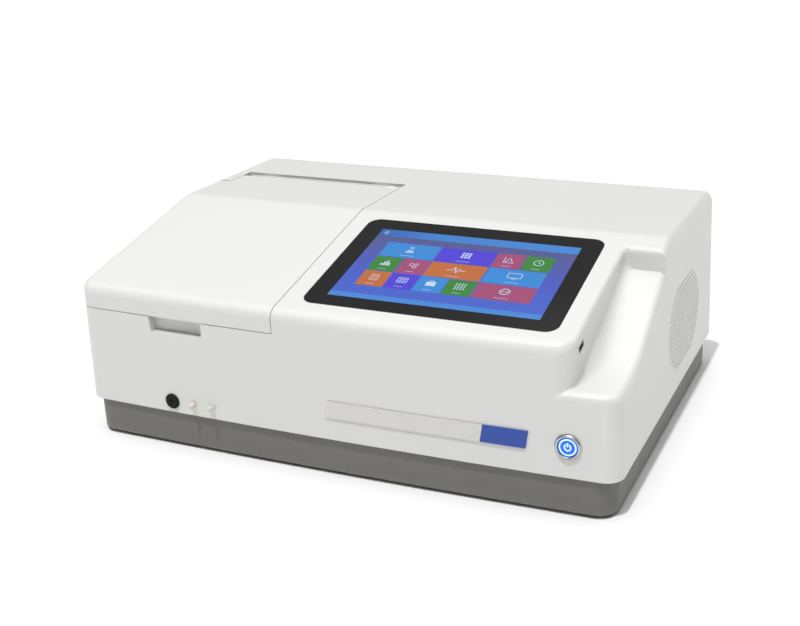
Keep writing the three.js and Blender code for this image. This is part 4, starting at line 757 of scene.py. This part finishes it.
# Trough: down the rear wall, round a quarter turn, then forward along the floor
def makeTrough():
    pinLeft = middle("lid_hinge_pin_left")
    lidRight = corners("sample_lid")[1][0]
    rearWall = pinLeft[1] + trough["behind"]
    floor = topZ - trough["depth"]
    turn = np.linspace(0, math.pi / 2, 9)
    bend = np.stack([rearWall - trough["round"] * (1 - np.cos(turn)),
                     floor + trough["round"] * (1 - np.sin(turn))], -1)
    section = np.concatenate([[[rearWall, topZ - trough["top"]]], bend,
                              [[pinLeft[1] - trough["ahead"], floor]]])
    rows = trough["rows"]
    across = np.linspace(pinLeft[0] - trough["pastPin"], lidRight - trough["lidGap"], rows)
    points = np.column_stack([np.repeat(across, len(section)), np.tile(section, (rows, 1))])
    surface = (points, gridFaces(rows, len(section)))
    piece = addPiece("hinge_trough", joined("hingeTrough", [surface], closed=False),
                     finishes["white_shell"])
    wall = piece.modifiers.new("thickness", "SOLIDIFY")
    wall.thickness = trough["thickness"]


makeTrough()
print("hinge trough made")

# Rear fittings: fan guard, screws, and the contacts inside the sockets
rear = {
    "guardWire": 0.9 * mm, "rings": (8, 16, 24, 32, 37), "guardOff": 1.7 * mm, "steps": 64,
    "fanScrew": 35.75 * mm, "spokeStart": 5.6 * mm, "spokeDrop": 0.4 * mm,
    "screwRadius": 2.9 * mm, "screwHeight": 1.6 * mm, "headLift": 0.2 * mm,
    "panelInset": 6 * mm, "panelScrew": 0.9, "headSink": 0.05 * mm,
}


# Guard: rings round the fan's axis, held by four spokes that end under screws
def makeRearFittings():
    panelLow, panelHigh = corners("rear_panel")
    fan = middle("fan_frame")
    face = panelHigh[1]
    guardY = face + rear["guardOff"]
    wires = []
    turn = np.linspace(0, 2 * math.pi, rear["steps"], endpoint=False)
    for radius in rear["rings"]:
        path = np.stack([fan[0] + radius * mm * np.cos(turn), np.full(rear["steps"], guardY),
                         fan[2] + radius * mm * np.sin(turn)], -1)
        wires.append(carried(path, rear["guardWire"], (0, 1, 0), True))
    heads = []
    start, reach = rear["spokeStart"], rear["fanScrew"]
    for side in (-1, 1):
        for level in (-1, 1):
            inner = np.array([fan[0] + side * start, guardY + rear["guardWire"], fan[2] + level * start])
            outer = np.array([fan[0] + side * reach, guardY - rear["spokeDrop"], fan[2] + level * reach])
            wires.append(carried(np.linspace(inner, outer, 6), rear["guardWire"], (0, 1, 0)))
            heads.append(screwHead(outer + (0, rear["headLift"], 0), (0, 1, 0), rear["screwRadius"],
                                   rear["screwHeight"]))
    addPiece("fan_guard", joined("fanGuard", wires), finishes["zinc"])
    inset = rear["panelInset"]
    for x in (panelLow[0] + inset, (panelLow[0] + panelHigh[0]) / 2, panelHigh[0] - inset):
        for z in (panelLow[2] + inset, panelHigh[2] - inset):
            heads.append(screwHead((x, face - rear["headSink"], z), (0, 1, 0),
                                   rear["screwRadius"] * rear["panelScrew"], rear["screwHeight"]))
    addPiece("rear_screws", joined("rearScrews", heads), finishes["dark_anodised"])


# Contacts, in millimetres: flat pins in the inlet, a tongue, and two rows of round pins
sockets = {"pin": (2.0, 9.0, 4.0), "pinGap": 7.0, "pinSink": 12.0, "pinLift": 5.2, "earthLift": 2.0,
           "tongueB": (5.4, 7.0, 3.0), "tongueSink": 5.2, "serialPin": 0.55, "serialLong": 4.5,
           "serialPitch": 2.77, "serialSink": 0.4, "serialRows": ((5, 1.4), (4, -1.4))}


def makeContacts():
    inlet, rearmost = middle("mains_inlet"), corners("mains_inlet")[1][1]
    pins = []
    for k in (-1, 0, 1):
        lift = sockets["pinLift"] + (sockets["earthLift"] if k == 0 else -sockets["earthLift"])
        centre = (inlet[0] + k * sockets["pinGap"] * mm, rearmost - sockets["pinSink"] * mm,
                  inlet[2] + lift * mm)
        pins.append(roundedBox(centre, np.array(sockets["pin"]) * mm, 0.5 * mm))
    addPiece("inlet_pins", joined("inletPins", pins), finishes["zinc"])
    socket, rearmost = middle("usb_b_socket"), corners("usb_b_socket")[1][1]
    centre = (socket[0], rearmost - sockets["tongueSink"] * mm, socket[2])
    tongue = roundedBox(centre, np.array(sockets["tongueB"]) * mm, 0.3 * mm)
    addPiece("usb_b_tongue", joined("usbBTongue", [tongue]), finishes["white_plastic"])
    socket, rearmost = middle("serial_socket"), corners("serial_socket")[1][1]
    radius, length = sockets["serialPin"] * mm, sockets["serialLong"] * mm
    profile = [(0, 0), (-0.3 * mm, radius * 0.8), (-0.6 * mm, radius), (-length, radius), (-length, 0)]
    pins = []
    for count, level in sockets["serialRows"]:
        for k in range(count):
            tip = (socket[0] + (k - (count - 1) / 2) * sockets["serialPitch"] * mm,
                   rearmost - sockets["serialSink"] * mm, socket[2] + level * mm)
            pins.append(turned(profile, tip, (0, 1, 0), 12))
    addPiece("serial_pins", joined("serialPins", pins), finishes["brass"])


makeRearFittings()
makeContacts()
print("rear fittings made")

# Inside the sample compartment: a foam seal round the well, and liquid in the cells
seal = {"width": 5 * mm, "height": 3.2 * mm, "corner": 10 * mm, "inset": 3 * mm, "steps": 12}


# Closed path of straights and quarter turns round a rectangle
def rectanglePath(low, high, corner, level, steps=7):
    turn = np.linspace(0, math.pi / 2, steps)
    left, right = low[0] + corner, high[0] - corner
    near, far = low[1] + corner, high[1] - corner
    arcs = []
    for k, (x, y) in enumerate([(right, far), (left, far), (left, near), (right, near)]):
        angle = turn + k * math.pi / 2
        arcs.append(np.stack([x + corner * np.cos(angle), y + corner * np.sin(angle),
                              np.full(steps, level)], -1))
    return np.concatenate(arcs)


# Seal: a round section along the well's rim, widened and flattened about its spine
def makeSeal():
    low, high = corners("sample_well")
    path = rectanglePath(low[:2] + seal["inset"], high[:2] - seal["inset"], seal["corner"],
                         high[2] + seal["height"] / 2)
    points, faces = carried(path, 0.5, (0, 0, 1), True, seal["steps"])
    spine = np.repeat(path, seal["steps"], 0)
    points = spine + (points - spine) * np.array([seal["width"], seal["width"], seal["height"]])
    addPiece("lid_seal", joined("lidSeal", [(points, faces)]),
             foamFinish("sealFoam", (0.018, 0.018, 0.019)))


cells = {"inside": 9.8 * mm, "floor": 1.5 * mm, "fill": 33 * mm, "meniscus": 0.7 * mm, "steps": 13,
         "colours": {"cuvette_1": (0.95, 0.55, 0.72), "cuvette_2": (0.55, 0.78, 0.97),
                     "cuvette_3": (0.97, 0.86, 0.45), "reference_cuvette": (0.93, 0.96, 0.98)}}


# Liquid: a square column whose top rises to the walls with the fourth power of the distance out
def makeLiquid(node, colour):
    low, high = corners(node)
    centre = (low + high) / 2
    half, steps = cells["inside"] / 2, cells["steps"]
    across = np.linspace(-1, 1, steps)
    a, b = np.meshgrid(across, across, indexing="ij")
    edge = np.maximum(np.abs(a), np.abs(b))
    top = low[2] + cells["floor"] + cells["fill"] + cells["meniscus"] * edge ** 4
    lid = np.stack([centre[0] + a * half, centre[1] + b * half, top], -1)
    base = lid.copy()
    base[..., 2] = low[2] + cells["floor"]
    rim = np.concatenate([np.stack([lid[0], base[0]]), np.stack([lid[-1], base[-1]]),
                          np.stack([lid[:, 0], base[:, 0]]), np.stack([lid[:, -1], base[:, -1]])])
    surfaces = [(side.reshape(-1, 3), gridFaces(steps, steps)) for side in (lid, base)]
    surfaces += [(rim[2 * k:2 * k + 2].reshape(-1, 3), gridFaces(2, steps)) for k in range(4)]
    addPiece(node + "_liquid", joined(node + "Liquid", surfaces, 30),
             liquidFinish(node + "Solution", colour), bodies[node])


makeSeal()
for node, colour in cells["colours"].items():
    makeLiquid(node, colour)
print("sample compartment fitted")

# Floor, light and camera
studio = {
    "sky": [(0.0, 0.75), (0.05, 0.4), (0.14, 0.14), (0.7, 0.18), (0.82, 1.55)], "skyScale": 2.0,
    "floor": (0.88, 0.88, 0.88), "floorSize": 14.0,
    "sun": 1.8, "sunAngle": 2.0, "sunElevation": 72.0, "sunAzimuth": 6.0,
}


def makeFloor():
    work = bmesh.new()
    bmesh.ops.create_grid(work, x_segments=1, y_segments=1, size=studio["floorSize"])
    mesh = bpy.data.meshes.new("floor")
    work.to_mesh(mesh)
    work.free()
    floor = bpy.data.objects.new("floor", mesh)
    bpy.context.scene.collection.objects.link(floor)
    surface = Surface("floorPaper")
    surface.set(Base_Color=surface.mixColour(surface.noise(2.0), studio["floor"],
                                             tuple(c * 0.995 for c in studio["floor"])))
    surface.set(Roughness=0.9, Specular_IOR_Level=0.1)
    mesh.materials.append(surface.material)


# The sun stands to the front left by its azimuth, at its elevation
def makeSun():
    data = bpy.data.lights.new("sun", "SUN")
    data.energy = studio["sun"]
    data.angle = math.radians(studio["sunAngle"])
    light = bpy.data.objects.new("sun", data)
    rise, turn = math.radians(studio["sunElevation"]), math.radians(studio["sunAzimuth"])
    level = math.cos(rise)
    towards = Vector((-level * math.sin(turn), -level * math.cos(turn), math.sin(rise)))
    light.rotation_euler = (-towards).to_track_quat("-Z", "Y").to_euler()
    bpy.context.scene.collection.objects.link(light)


# A pale sky: a broad soft light overhead, and a thin bright band round the horizon
def makeWorld():
    world = bpy.data.worlds.new("studio")
    world.use_nodes = True
    tree = world.node_tree
    direction = makeNode(tree, "ShaderNodeTexCoord", output="Generated")
    height = makeNode(tree, "ShaderNodeSeparateXYZ", {}, {0: direction}, 2)
    stops = [(place, level / studio["skyScale"]) for place, level in studio["sky"]]
    strength = makeNode(tree, "ShaderNodeValToRGB", {"stops": stops}, {0: height}) * studio["skyScale"]
    background = tree.nodes["Background"]
    background.inputs["Color"].default_value = (1.0, 1.0, 1.0, 1.0)
    tree.links.new(strength.socket, background.inputs["Strength"])
    bpy.context.scene.world = world


view = {
    "place": (526.2 * mm, frontY - 914.7 * mm, 556.9 * mm), "yaw": math.radians(22.925),
    "pitch": math.radians(-20.76), "roll": math.radians(-1.441),
    "lens": 53.67, "sensor": 36.0, "shift": (-0.0739, 0.0070), "clip": (0.01, 60.0),
}


# The camera's axes from yaw, pitch and roll
def makeCamera():
    yaw, pitch, roll = view["yaw"], view["pitch"], view["roll"]
    ahead = Vector((-math.sin(yaw) * math.cos(pitch), math.cos(yaw) * math.cos(pitch), math.sin(pitch)))
    right = Vector((math.cos(yaw), math.sin(yaw), 0.0))
    up = right.cross(ahead)
    tiltedRight = right * math.cos(roll) + up * math.sin(roll)
    tiltedUp = up * math.cos(roll) - right * math.sin(roll)
    data = bpy.data.cameras.new("camera")
    data.lens = view["lens"]
    data.sensor_width = view["sensor"]
    data.shift_x, data.shift_y = view["shift"]
    data.clip_start, data.clip_end = view["clip"]
    camera = bpy.data.objects.new("camera", data)
    turn = Matrix((tiltedRight, tiltedUp, -ahead)).transposed().to_4x4()
    camera.matrix_world = Matrix.Translation(Vector(view["place"])) @ turn
    bpy.context.scene.collection.objects.link(camera)
    bpy.context.scene.camera = camera


makeFloor()
makeWorld()
makeSun()
makeCamera()
bpy.context.scene.view_settings.view_transform = "Standard"
print("studio made")

bpy.context.view_layer.update()
